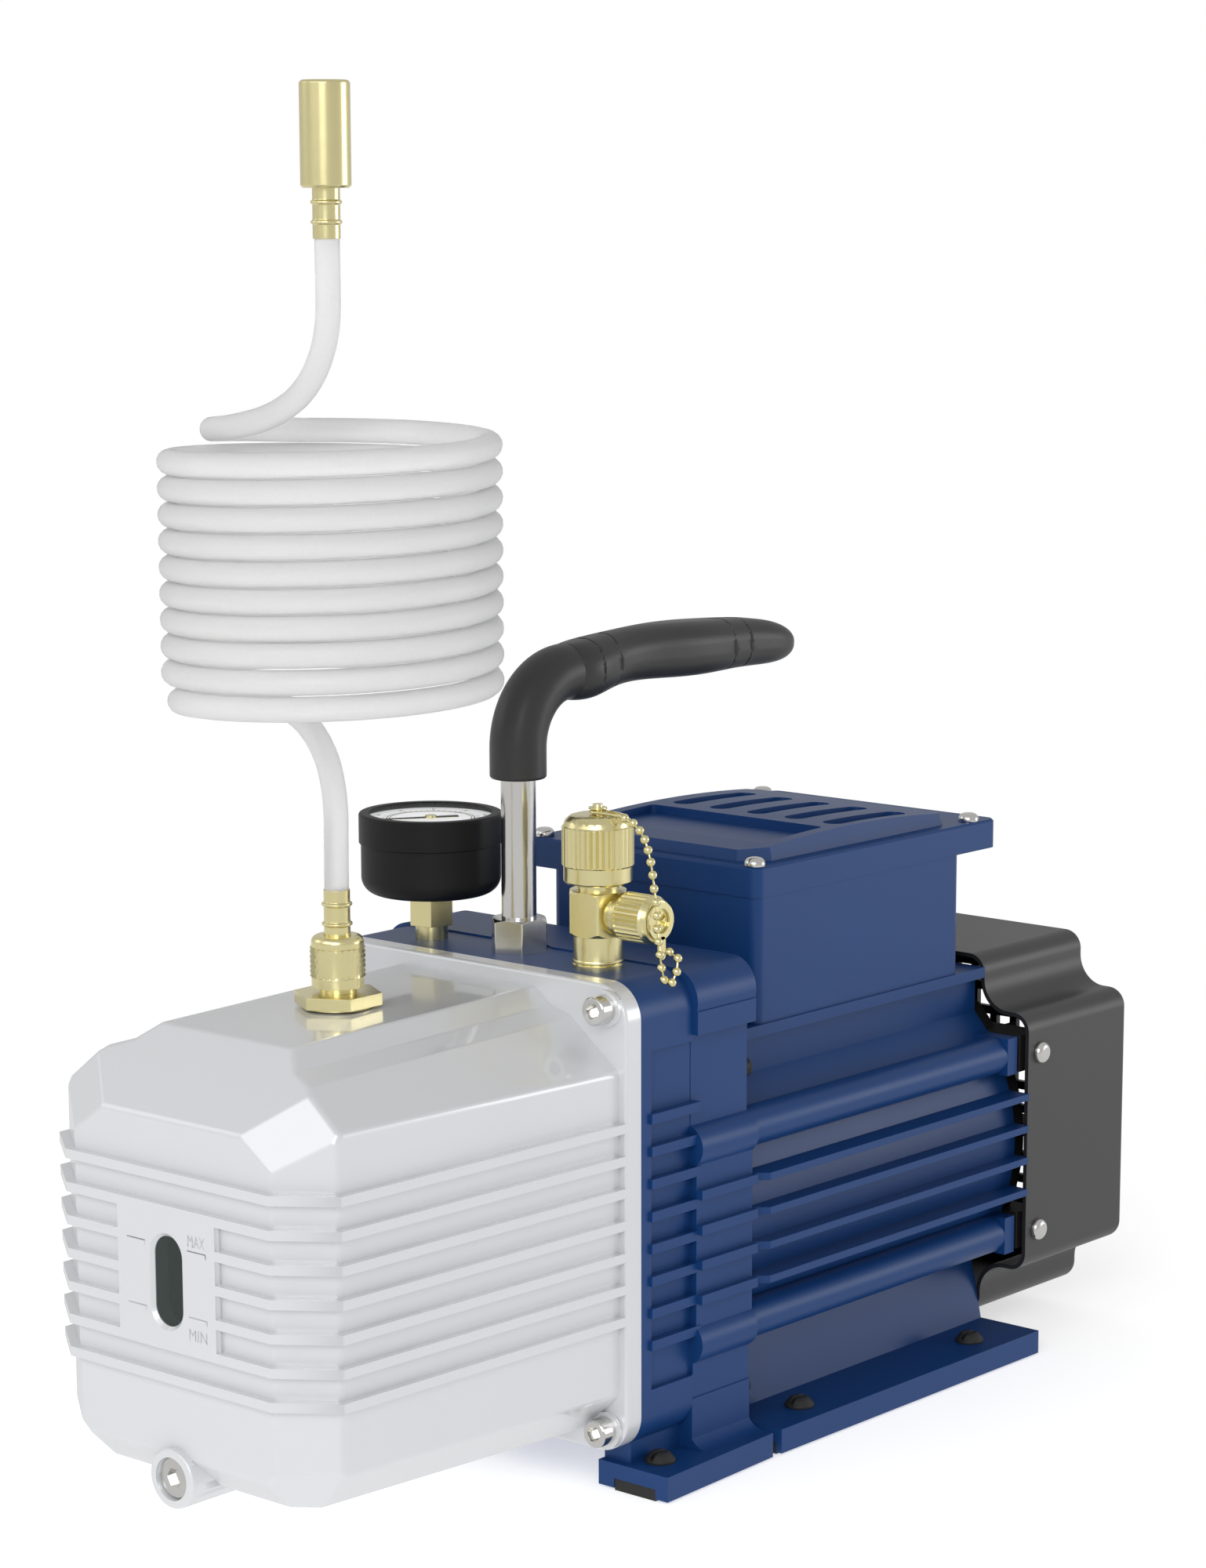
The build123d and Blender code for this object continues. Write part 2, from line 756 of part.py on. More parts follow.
def front_foot():
    """Near foot of the bracket: a plate with a channel for its rubber strip"""
    plan = foot_plan(foot_inner_x, foot_outer_front, foot_outer_rear, foot_front_y, foot_split_y)
    plate = Pos(0, 0, foot_bottom_z) * extrude(plan, foot_top_z - foot_bottom_z)
    plug_clear_x = plug_points[0][0] - plug_head_diameter / 2 - 0.3
    leg = span_box(foot_inner_x, plug_clear_x, mount_y + 1, bracket_rear_y, foot_top_z - 1,
            block_bottom_z + 12)
    leg += span_box(foot_inner_x, foot_leg_x - 5, bracket_step_y, bracket_rear_y, foot_top_z - 1,
            block_bottom_z + 12)
    flare = span_box(foot_leg_x - 9, foot_leg_x + 1.5, bracket_step_y, bracket_rear_y, foot_top_z,
            foot_top_z + 10)
    flare -= rod_along_y(foot_leg_x + 1.5, foot_top_z + 8, bracket_step_y - 1, bracket_rear_y + 1, 8)
    flare -= span_box(foot_leg_x - 6.5, foot_leg_x + 9, bracket_step_y - 1, bracket_rear_y + 1,
            foot_top_z + 8, foot_top_z + 12)
    foot = plate + leg + flare
    foot -= span_box(foot_channel_inner, foot_channel_outer, foot_front_y - 1, foot_split_y + 1, -1,
            foot_bottom_z + foot_channel_height)
    x, y = plug_points[0]
    return foot - rod_z(x, y, -1, foot_top_z + 1, plug_stem_diameter / 2 + fit_gap)


def bracket_cuts():
    """Cavity, bores and threaded holes of the bracket"""
    cuts = []
    cavity_y = mount_y + bracket_front_wall
    cuts.append(rod_along_y(0, axis_z, cavity_y, bracket_rear_y + 1, bracket_cavity_radius))
    cuts.append(rod_along_y(0, axis_z, bracket_rear_y - front_shield_thickness, bracket_rear_y + 1,
            body_bore + fit_gap))
    cuts.append(rod_along_y(0, axis_z, mount_y - 1, cavity_y + 1, seal_seat_radius + fit_gap))
    for x in (-casing_screw_x, casing_screw_x):
        for z in (casing_screw_low_z, casing_screw_high_z):
            cuts.append(rod_along_y(x, z, mount_y - 1, mount_y + 15, casing_screw_diameter / 2 + fit_gap))
    cuts.append(rod_z(0, rod_y, block_top_z - rod_depth, block_top_z + 3, rod_diameter / 2 + fit_gap))
    cuts.append(rod_z(0, rod_y, block_top_z, block_top_z + 3, 11.2))
    cuts.append(rod_z(gauge_x, gauge_y, block_top_z - 9, block_top_z + 3,
            gauge_stem_diameter / 2 + fit_gap))
    cuts.append(rod_z(tee_x, tee_y, block_top_z - 11, block_top_z + 3, tee_thread_radius + fit_gap))
    gallery_z = block_top_z - 24
    cuts.append(rod_z(gauge_x, gauge_y, gallery_z, block_top_z - 8, 2.5))
    cuts.append(rod_z(tee_x, tee_y, gallery_z, block_top_z - 10, 4.5))
    cuts.append(rod_along_x(gauge_y, gallery_z, gauge_x, tee_x, 2.5))
    for x in (-ridge_x, ridge_x):
        for z in (axis_z - ridge_rise, axis_z + ridge_rise):
            cuts.append(rod_along_y(x * motor_ridge_x / ridge_x, z, bracket_rear_y - 16,
                    bracket_rear_y + 1, tie_bolt_diameter / 2 + fit_gap))
    for x, z in bracket_screw_points():
        cuts.append(rod_along_y(x, z, bracket_rear_y - 14, bracket_rear_y + 1, 2.5 + fit_gap))
    for bolt in module_bolt_points():
        cuts.append(rod_along_y(bolt[0], bolt[1], mount_y - 1, mount_y + 10, 2.5 + fit_gap))
    return cuts


seal_seat_radius = 17.0
tee_thread_radius = 7.6


def bracket_screw_points():
    """Places of the screws on the rear face of the bracket"""
    x = body_radius - 4.2
    return [(side * x, axis_z + rise) for side in (-1, 1) for rise in (11.3 - body_radius,
            body_radius - 12.5)]


def bracket_screws():
    """Domed screws on the rear face of the bracket"""
    screws = []
    for x, z in bracket_screw_points():
        shank = rod_along_y(x, z, bracket_rear_y - 12, bracket_rear_y, 2.5)
        head = rod_along_y(x, z, bracket_rear_y, bracket_rear_y + 4.2, 3.9)
        head = fillet(head.edges().group_by(Axis.Y)[-1], 1.8)
        screws.append(shank + head)
    return group(screws)


def foot_pads():
    """Rubber strips under the feet, each with room for its plugs"""
    front = span_box(foot_channel_inner + seat_gap, foot_channel_outer - seat_gap, foot_front_y + 0.3,
            foot_split_y - 0.3, 0, foot_bottom_z + foot_channel_height)
    rear = span_box(foot_channel_inner + seat_gap, foot_channel_outer - seat_gap, rear_foot_y + 0.3,
            rear_foot_end_y - 0.3, 0, foot_bottom_z + foot_channel_height)
    pads = []
    for side in (-1, 1):
        for pad, points in ((front, plug_points[:1]), (rear, plug_points[1:])):
            piece = pad
            for x, y in points:
                piece -= rod_z(x, y, -1, foot_top_z, plug_stem_diameter / 2 + fit_gap)
            pads.append(piece if side > 0 else mirror(piece, about=Plane.YZ))
    return group(pads)


def foot_plugs():
    """Slotted rubber plugs that pin the strips to the feet"""
    plugs = []
    for x, y in plug_points:
        head = turned([(0, foot_top_z), (plug_head_diameter / 2, foot_top_z), (plug_head_diameter / 2,
                foot_top_z + 0.9),
                       (plug_head_diameter / 2 - 1.6, foot_top_z + plug_head_height - 0.7), (2.6,
                               foot_top_z + plug_head_height), (0, foot_top_z + plug_head_height)], x, y)
        stem = rod_z(x, y, foot_bottom_z + 1.0, foot_top_z + 0.5, plug_stem_diameter / 2)
        slot = span_box(x - plug_slot_width / 2, x + plug_slot_width / 2, y - 9, y + 9,
                foot_top_z + 1.2, foot_top_z + 9)
        plug = head + stem - slot
        plugs += [plug, mirror(plug, about=Plane.YZ)]
    return group(plugs)


# Motor


def fin_height(index):
    """Height of a side fin, counted from the top"""
    return axis_z + (fin_count - 1) * fin_pitch / 2 - index * fin_pitch


def motor_housing():
    """Extruded housing with pad, legs, tie bolt ridges, fins and rear feet"""
    profile = Pos(0, axis_z) * Circle(body_radius)
    pad_low = axis_z + sqrt(body_radius ** 2 - pad_half_width ** 2)
    profile += Pos(0, (pad_low + pad_top_z) / 2) * Rectangle(2 * pad_half_width, pad_top_z - pad_low)
    profile += Pos(0, pad_top_z - pad_lip_thickness / 2) * Rectangle(2 * pad_lip, pad_lip_thickness)
    leg_top = axis_z - sqrt(body_radius ** 2 - pad_half_width ** 2)
    leg = make_face(Polyline((pad_half_width, leg_top), (54.5, foot_top_z - 1), (46.5, foot_top_z - 1),
            (38, leg_top), close=True))
    profile += leg + mirror(leg, about=Plane.YZ)
    for x in (-motor_ridge_x, motor_ridge_x):
        for z in (axis_z - ridge_rise, axis_z + ridge_rise):
            profile += Pos(x, z) * Circle(motor_ridge_radius)
    body = slab(profile, bracket_rear_y, motor_rear_y)
    for x in (-motor_ridge_x, motor_ridge_x):
        inner, outer = sorted((x * 0.86, x + (motor_ridge_radius if x > 0 else -motor_ridge_radius)))
        for z in (axis_z - ridge_rise, axis_z + ridge_rise):
            low, high = z - motor_ridge_radius, z + motor_ridge_radius
            body += span_box(inner, outer, motor_rear_y - lug_length, motor_rear_y, low, high)
            end = span_box(min(0, 2 * x), max(0, 2 * x), motor_rear_y - lug_short, motor_rear_y + 1,
                    low - 1, high + 1)
            body -= end - rod_along_y(0, axis_z, motor_rear_y - 9, motor_rear_y + 9, body_radius + 0.3)
    for index in range(fin_count):
        body += mirrored(side_fin(fin_height(index)))
    body += mirrored(rear_foot())
    body -= rod_along_y(0, axis_z, bracket_rear_y - 1, motor_rear_y + 1, body_bore)
    for x in (-motor_ridge_x, motor_ridge_x):
        for z in (axis_z - ridge_rise, axis_z + ridge_rise):
            body -= rod_along_y(x, z, bracket_rear_y - 1, motor_rear_y + 1,
                    tie_bolt_diameter / 2 + fit_gap)
    body -= span_box(-12, 12, 60, 84, axis_z + body_bore - 4, pad_top_z + 1)
    return body - span_box(-90, 90, bracket_rear_y - 1, motor_rear_y + 1, pad_top_z, pad_top_z + 9)


def side_fin(z):
    """One cooling fin on the near side, cut back at its front end"""
    root = 60.5
    reach = fin_half_width - root
    plan = make_face(Polyline((root, fin_start_y - 2), (fin_half_width - 5, fin_start_y - 2),
            (fin_half_width, fin_start_y + 3),
                              (fin_half_width, motor_rear_y), (root, motor_rear_y), close=True))
    return Pos(0, 0, z - fin_thickness / 2) * extrude(plan, fin_thickness)


def rear_foot():
    """Near foot plate of the motor, with its channel and two plug holes"""
    plan = foot_plan(44.0, foot_outer_rear, foot_outer_rear, rear_foot_y, rear_foot_end_y)
    foot = Pos(0, 0, foot_bottom_z) * extrude(plan, foot_top_z - foot_bottom_z)
    foot -= span_box(foot_channel_inner, foot_channel_outer, rear_foot_y - 1, rear_foot_end_y + 1, -1,
            foot_bottom_z + foot_channel_height)
    for x, y in plug_points[1:]:
        foot -= rod_z(x, y, -1, foot_top_z + 1, plug_stem_diameter / 2 + fit_gap)
    return foot


stator_y = motor_rear_y - 0.739 * motor_length


def ring_slab(outer, inner, y0, y1):
    """Ring about the shaft axis"""
    return slab(Pos(0, axis_z) * (Circle(outer) - Circle(inner)), y0, y1)


def stator():
    """Laminated core with open slots, and the end turns of its winding"""
    core = Pos(0, axis_z) * (Circle(body_bore - fit_gap) - Circle(stator_bore))
    for index in range(24):
        slot = Pos(0, axis_z) * Rot(0, 0, index * 15) * Pos(stator_bore + 6, 0) * Rectangle(13, 3.6)
        core -= slot
    core = slab(core, stator_y, stator_y + stator_core_length)
    before = ring_slab(52, 38, stator_y - 16, stator_y)
    after = ring_slab(52, 38, stator_y + stator_core_length, stator_y + stator_core_length + 16)
    return group([core, before, after])


def motor_rotor():
    """Squirrel cage rotor pressed on the shaft"""
    radius = stator_bore - rotor_gap
    cage = ring_slab(radius, shaft_diameter / 2 + fit_gap, stator_y, stator_y + stator_core_length)
    ends = ring_slab(radius - 3, 18, stator_y - 8, stator_y) + ring_slab(radius - 3, 18,
            stator_y + stator_core_length, stator_y + stator_core_length + 8)
    return cage + ends


front_bearing_y = bracket_rear_y - front_shield_thickness + 2.0
rear_bearing_y = motor_rear_y - 10.0


def motor_shaft():
    """Stepped shaft from the coupling to the fan"""
    end_y = motor_rear_y + 40
    start_y = front_bearing_y - 12
    shaft = rod_along_y(0, axis_z, start_y, end_y, shaft_diameter / 2)
    journal = bearing_bore / 2
    shaft += rod_along_y(0, axis_z, front_bearing_y, front_bearing_y + bearing_width + 4, journal)
    shaft += rod_along_y(0, axis_z, rear_bearing_y - 4, rear_bearing_y + bearing_width, journal)
    return chamfer(shaft.edges().group_by(Axis.Y)[-1], 1)


def ball_bearing(y):
    """Deep groove bearing as two races and a ring of balls"""
    outer = ring_slab(bearing_outer / 2, bearing_outer / 2 - 3.2, y, y + bearing_width)
    inner = ring_slab(bearing_bore / 2 + 3.2, bearing_bore / 2 + fit_gap, y, y + bearing_width)
    middle = (bearing_outer + bearing_bore) / 4
    groove = Pos(0, y + bearing_width / 2, axis_z) * Rot(90, 0, 0) * Torus(middle, 3.4)
    balls = []
    for index in range(8):
        angle = radians(index * 45)
        balls.append(Pos(middle * cos(angle), y + bearing_width / 2,
                axis_z + middle * sin(angle)) * Sphere(3.3))
    return outer - groove, inner - groove, balls


def bearing_outers(y):
    """Outer race that stays in its seat"""
    return ball_bearing(y)[0]


def bearing_inners(y):
    """Inner race and balls that turn with the shaft"""
    outer, inner, balls = ball_bearing(y)
    return group([inner] + balls)


def front_end_shield():
    """Disc between bracket and motor that carries the front bearing"""
    rear_y = bracket_rear_y
    disc = ring_slab(body_bore - 0.1, bearing_outer / 2 + 4, rear_y - front_shield_thickness, rear_y)
    hub_y = front_bearing_y
    hub = ring_slab(bearing_outer / 2 + 6, bearing_outer / 2 + fit_gap, hub_y, hub_y + bearing_width)
    lip = ring_slab(bearing_outer / 2 + 6, bearing_bore / 2 + 5, hub_y - 2, hub_y - fit_gap)
    return disc + hub + lip


def rear_end_shield():
    """Cast shield behind the motor with four lugs for the fan cover screws"""
    disc = ring_slab(body_radius - 1.5, bearing_outer / 2 + 4, motor_rear_y,
            motor_rear_y + shield_thickness)
    spigot = ring_slab(body_bore - 0.1, body_bore - 4, motor_rear_y - 4, motor_rear_y + 1)
    hub = ring_slab(bearing_outer / 2 + 6, bearing_outer / 2 + fit_gap, rear_bearing_y,
            motor_rear_y + shield_thickness)
    lip = ring_slab(bearing_outer / 2 + 6, bearing_bore / 2 + 5,
            rear_bearing_y + bearing_width + fit_gap, motor_rear_y + shield_thickness)
    shield = disc + spigot + hub + lip
    for x in (-motor_ridge_x, motor_ridge_x):
        inner, outer = sorted((x * 0.7, x + (6 if x > 0 else -6)))
        for rise in (-cover_screw_rise, cover_screw_rise):
            lug = span_box(inner, outer, motor_rear_y, cover_screw_y + 6, axis_z + rise - 7,
                    axis_z + rise + 7)
            shield += lug
    for x in (-motor_ridge_x, motor_ridge_x):
        for rise in (-cover_screw_rise, cover_screw_rise):
            z = axis_z + rise
            inner, outer = sorted((x * 0.8, x * 1.3))
            shield -= rod_along_x(cover_screw_y, z, inner, outer, cover_screw_diameter / 2 + fit_gap)
            ridge_z = axis_z + (ridge_rise if rise > 0 else -ridge_rise)
            shield -= rod_along_y(x, ridge_z, motor_rear_y - 1, motor_rear_y + 4,
                    tie_bolt_diameter / 2 + fit_gap)
    return shield


def tie_bolts():
    """Rods through the ridges, from the bracket into the rear shield"""
    bolts = []
    for x in (-motor_ridge_x, motor_ridge_x):
        for z in (axis_z - ridge_rise, axis_z + ridge_rise):
            bolts.append(rod_along_y(x, z, bracket_rear_y - 15, motor_rear_y + 3.8,
                    tie_bolt_diameter / 2))
    return bolts


def cooling_fan():
    """Hub with radial blades on the rear end of the shaft"""
    hub_y = motor_rear_y + 20
    hub = ring_slab(15, shaft_diameter / 2 + fit_gap, hub_y, hub_y + 18)
    web = ring_slab(30, 14, hub_y, hub_y + 3)
    fan = hub + web
    for index in range(fan_blades):
        blade = span_box(13, fan_radius, hub_y, hub_y + 16, axis_z - 1.1, axis_z + 1.1)
        fan += Pos(0, 0, axis_z) * Rot(0, index * 360 / fan_blades, 0) * Pos(0, 0, -axis_z) * blade
    return fan


def cover_outline(inset):
    """Cross shaped outline of the fan cover, rounded at its eight corners"""
    neck = cover_neck_half - inset
    wing = cover_wing_half - inset
    wide = cover_half_width - inset
    tall = cover_half_height - inset
    quarter = [(neck, tall), (neck, wing), (wide, wing)]
    right_low = [(x, -z) for x, z in reversed(quarter)]
    left_low = [(-x, -z) for x, z in quarter]
    left_high = [(-x, z) for x, z in reversed(quarter)]
    outline = make_face(Polyline(*quarter, *right_low, *left_low, *left_high, close=True))
    inner_corners = [
        v for v in outline.vertices() if abs(abs(v.X) - neck) < 0.01 and abs(abs(v.Y) - wing) < 0.01
    ]
    rounded = fillet(inner_corners, 11.0 + inset)
    outer_corners = [v for v in rounded.vertices()
                     if (abs(abs(v.X) - neck) < 0.01 and abs(abs(v.Y) - tall) < 0.01)
                     or (abs(abs(v.X) - wide) < 0.01 and abs(abs(v.Y) - wing) < 0.01)]
    rounded = fillet(outer_corners, 7.0 - inset)
    return Pos(0, axis_z) * rounded


def fan_cover():
    """Deep drawn cover open at the front, with a rim that holds the grille"""
    shell = slab(cover_outline(0), motor_rear_y, cover_rear_y)
    shell = fillet(shell.edges().group_by(Axis.Y)[-1], 3.0)
    shell -= slab(cover_outline(cover_wall), motor_rear_y - 1, cover_rear_y - cover_wall)
    shell -= slab(cover_outline(9.0 - 2.2), cover_rear_y - 5, cover_rear_y + 1)
    for x in (-cover_half_width, cover_half_width):
        inner, outer = sorted((x * 0.9, x * 1.1))
        for rise in (-cover_screw_rise, cover_screw_rise):
            shell -= rod_along_x(cover_screw_y, axis_z + rise, inner, outer,
                    cover_screw_diameter / 2 + fit_gap)
    return shell


def fan_grille():
    """Square mesh plate seated behind the rear rim of the cover"""
    rear_y = cover_rear_y - cover_wall
    plate_outline = cover_outline(cover_wall + 0.1)
    holes = []
    count_x = int(cover_half_width / mesh_pitch)
    count_z = int(cover_half_height / mesh_pitch)
    for column in range(-count_x, count_x + 1):
        for row in range(-count_z, count_z + 1):
            x, z = column * mesh_pitch, row * mesh_pitch
            half = mesh_hole / 2 + 8.0
            narrow = abs(x) + half < cover_neck_half and abs(z) + half < cover_half_height
            wide = abs(x) + half < cover_half_width and abs(z) + half < cover_wing_half
            if narrow or wide:
                holes.append(Pos(x, axis_z + z) * Rectangle(mesh_hole, mesh_hole))
    plate = plate_outline
    for hole in holes:
        plate -= hole
    return slab(plate, rear_y - grille_thickness, rear_y)


def fan_cover_screws():
    """Cross head screws through the cover sides into the shield lugs"""
    screws = []
    for side in (-1, 1):
        for rise in (-cover_screw_rise, cover_screw_rise):
            z = axis_z + rise
            start = cover_half_width
            shank = rod_along_x(cover_screw_y, z, start - 20, start, cover_screw_diameter / 2)
            head = rod_along_x(cover_screw_y, z, start, start + 2.8, cover_screw_head / 2)
            head = fillet(head.edges().group_by(Axis.X)[-1], 2.2)
            screw = shank + head
            screws.append(screw if side > 0 else mirror(screw, about=Plane.YZ))
    return group(screws)


# Terminal box


def box_plan(margin):
    """Rounded plan outline of the box wall"""
    width = box_right - box_left - 2 * margin
    length = box_rear_y - box_front_y - 2 * margin
    return Pos((box_left + box_right) / 2, (box_front_y + box_rear_y) / 2) * RectangleRounded(width,
            length, 4 - margin / 2)


def lid_plan(margin):
    """Plan outline of the lid flange"""
    width = 2 * (lid_half_width - margin)
    length = lid_rear_y - lid_front_y - 2 * margin
    return Pos(0, (lid_front_y + lid_rear_y) / 2) * RectangleRounded(width, length, 4.2)


def lid_screw_points():
    """Places of the four lid screws"""
    return [(x, y) for x in (-lid_screw_x, lid_screw_x) for y in (lid_screw_front_y, lid_screw_rear_y)]


def lid_flange():
    """Flange and rim of the box, hidden inside the skirt of the lid"""
    inner = box_plan(box_wall + 1.6)
    rim = Pos(0, 0, box_top_z - 6.4) * extrude(box_plan(2.2) - inner, flange_high_z - box_top_z + 6.4)
    return rim + Pos(0, 0, flange_low_z) * extrude(lid_plan(lid_skirt + 0.2) - inner,
            flange_high_z - flange_low_z)


def terminal_box():
    """Box on the pad, with a flange inside the lid for the lid screws"""
    body = Pos(0, 0, pad_top_z) * extrude(box_plan(0), box_top_z - pad_top_z)
    body -= Pos(0, 0, pad_top_z + box_floor) * extrude(box_plan(box_wall), 90)
    body += lid_flange()
    for x, y in lid_screw_points():
        body -= rod_z(x, y, flange_low_z + 0.4, flange_high_z + 1, 2 + fit_gap)
    body -= span_box(-12, 12, 60, 84, pad_top_z - 1, pad_top_z + box_floor + 1)
    wall_x = box_left + box_wall + 1
    body -= span_box(box_left - 1, wall_x, inlet_y - 14.1, inlet_y + 14.1, inlet_z - 10.1, inlet_z + 10.1)
    body -= span_box(box_left - 1, wall_x, switch_y - 9.6, switch_y + 9.6, switch_z - 6.6, switch_z + 6.6)
    return body


def lid_gasket():
    """Flat seal between the flange and the lid"""
    seal = lid_plan(lid_skirt + 0.4) - box_plan(box_wall + 1.6)
    sheet = Pos(0, 0, flange_high_z) * extrude(seal, lid_gasket_height)
    for x, y in lid_screw_points():
        sheet -= rod_z(x, y, flange_high_z - 1, flange_high_z + 3, 2 + fit_gap)
    return sheet


def terminal_box_lid():
    """Lid with a skirt, a raised crowned panel, five slots and one blank field"""
    gasket_top = flange_high_z + lid_gasket_height
    lid = Pos(0, 0, lid_low_z) * extrude(lid_plan(0), lid_edge_z - lid_low_z)
    lid = chamfer(lid.edges().group_by(Axis.Z)[-1], 0.8)
    lid += lid_crown_form()
    lid -= Pos(0, 0, lid_low_z - 1) * extrude(lid_plan(lid_skirt), gasket_top - lid_low_z + 1)
    lid -= Pos(0, 0, lid_low_z) * extrude(box_plan(box_wall + 1.6), lid_edge_z - lid_low_z - lid_wall)
    for index in range(slot_count):
        x = (index - (slot_count - 1) / 2) * slot_pitch + 1.5
        slot = Pos(x, lid_front_y + 83, lid_edge_z + lid_crown - 3.2)
        lid -= slot * extrude(SlotOverall(slot_length, slot_width, rotation=90), 20)
    field = RectangleRounded(2 * lid_half_width - 26.6, 34, 2)
    lid -= Pos(0, lid_front_y + 37.5, lid_edge_z + 3.2) * extrude(field, 20)
    for x, y in lid_screw_points():
        lid -= rod_z(x, y, lid_low_z - 1, lid_edge_z + 3, 2 + fit_gap)
    return lid


def lid_crown_form():
    """Raised panel of the lid, arched along its length, with drafted sides"""
    front_y, rear_y = lid_front_y + 7, lid_rear_y - 21.5
    half = lid_half_width - 5.8
    base = make_face(Polyline((-half + 9, front_y), (half - 9, front_y), (half, front_y + 9), (half,
            rear_y - 5),
                              (half - 5, rear_y), (-half + 5, rear_y), (-half, rear_y - 5), (-half,
                                      front_y + 9), close=True))
    block = Pos(0, 0, lid_edge_z - 1) * extrude(base, lid_crown + 1, taper=18)
    middle_y = (front_y + rear_y) / 2
    chord = (rear_y - front_y) / 2 + 6
    drop = 3.4
    radius = (chord ** 2 + drop ** 2) / (2 * drop)
    crown = rod_along_x(middle_y, lid_edge_z + lid_crown - radius, -80, 80, radius)
    return block & crown


def lid_screws():
    """Domed screws at the corners of the lid"""
    screws = []
    for x, y in lid_screw_points():
        shank = rod_z(x, y, flange_low_z + 0.5, lid_edge_z, 2)
        head = rod_z(x, y, lid_edge_z, lid_edge_z + 3.1, lid_screw_head / 2)
        head = fillet(head.edges().group_by(Axis.Z)[-1], 2.4)
        screws.append(shank + head)
    return group(screws)


inlet_y, inlet_z = box_front_y + 39.8, (pad_top_z + box_top_z) / 2
switch_y, switch_z = box_rear_y - 42.6, (pad_top_z + box_top_z) / 2
rocker_pivot_depth = 3.0
rocker_pin_radius = 1.2
rocker_tilt = 8.0


def power_inlet():
    """Appliance inlet in the far wall of the box, with three blades inside"""
    outer_x = box_left
    body = span_box(outer_x, outer_x + 22, inlet_y - 14, inlet_y + 14, inlet_z - 10, inlet_z + 10)
    flange = span_box(outer_x - 2.6, outer_x, inlet_y - 17, inlet_y + 17, inlet_z - 12.5, inlet_z + 12.5)
    flange = fillet(flange.edges().filter_by(Axis.X), 3)
    body += flange
    body -= span_box(outer_x - 3, outer_x + 16, inlet_y - 12, inlet_y + 12, inlet_z - 8, inlet_z + 8)
    pins = []
    for y, z in ((inlet_y - 7, inlet_z - 5.2), (inlet_y, inlet_z - 5.2), (inlet_y + 7, inlet_z - 5.2)):
        pins.append(span_box(outer_x + 2, outer_x + 16, y - 1, y + 1, z - 2, z + 2))
    return group([body] + pins)


def switch_frame():
    """Frame of the rocker switch, snapped into the far wall"""
    outer_x = box_left
    body = span_box(outer_x, outer_x + 16, switch_y - 9.5, switch_y + 9.5, switch_z - 6.5, switch_z + 6.5)
    flange = span_box(outer_x - 1.8, outer_x, switch_y - 11, switch_y + 11, switch_z - 8, switch_z + 8)
    body += fillet(flange.edges().filter_by(Axis.X), 1.5)
    body -= span_box(outer_x - 3, outer_x + 11, switch_y - 8.3, switch_y + 8.3, switch_z - 5.3,
            switch_z + 5.3)
    return body - rod_z(box_left + rocker_pivot_depth, switch_y, switch_z - 9, switch_z + 9,
            rocker_pin_radius + fit_gap)


def switch_rocker():
    """Rocker on its pivot, shown in the off place"""
    corners = [(-5.4, -7.4), (-3.4, 0), (-5.4, 7.4), (2.4, 6.6), (3.0, 0), (2.4, -6.6)]
    rocker = extrude(make_face(Polyline(*corners, close=True)), 10.0)
    rocker += Pos(0, 0, 5) * Cylinder(rocker_pin_radius, 12.4)
    return Pos(box_left + rocker_pivot_depth, switch_y, switch_z - 5.0) * Rot(0, 0, -rocker_tilt) * rocker


def box_electrics():
    """Run capacitor on its clip, and the terminal block beside it"""
    z = pad_top_z + box_floor + 17.3
    start, end = box_front_y + 13.8, box_rear_y - 18.6
    can = rod_along_y(20, z, start, end, 17)
    clip = span_box(4, 36, start + 36, start + 50, pad_top_z + box_floor, z - 12)
    tabs = span_box(14, 16, end, end + 6, z - 3, z + 3) + span_box(24, 26, end, end + 6, z - 3, z + 3)
    return group([can + clip + tabs, terminal_block()])


def terminal_block():
    """Four way terminal block on the floor of the box"""
    floor_z = pad_top_z + box_floor
    start = box_rear_y - 44.6
    block = span_box(-20, -6, start, start + 34, floor_z, floor_z + 14)
    for index in range(4):
        y = start + 4.25 + index * 8.5
        block -= rod_z(-13, y, floor_z + 6, floor_z + 15, 2.4)
    return block


# Handle


def rod_path(low_z, end_y):
    """Centre line of the bent rod"""
    slope = (grip_centre_z - grip_bend_z) / 90
    end_z = grip_bend_z + slope * (end_y - rod_y - grip_bend_radius)
    return FilletPolyline((0, rod_y, low_z), (0, rod_y, grip_bend_z), (0, end_y, end_z),
            radius=grip_bend_radius - 4)


def handle_rod():
    """Bent steel rod screwed into the bracket"""
    path = rod_path(block_top_z - rod_depth + 0.5, grip_end_y - 16)
    start = Plane(origin=path @ 0, z_dir=(0, 0, 1))
    return sweep(start * Circle(rod_diameter / 2), path=path)


def grip_section(y, z, width, height, tilt, corner=0.42):
    """Rounded cross section of the grip at a place on its arch"""
    plane = Plane(origin=(0, y, z), x_dir=(1, 0, 0), z_dir=(0, cos(radians(tilt)), sin(radians(tilt))))
    return plane * RectangleRounded(width, height, min(width, height) * corner)


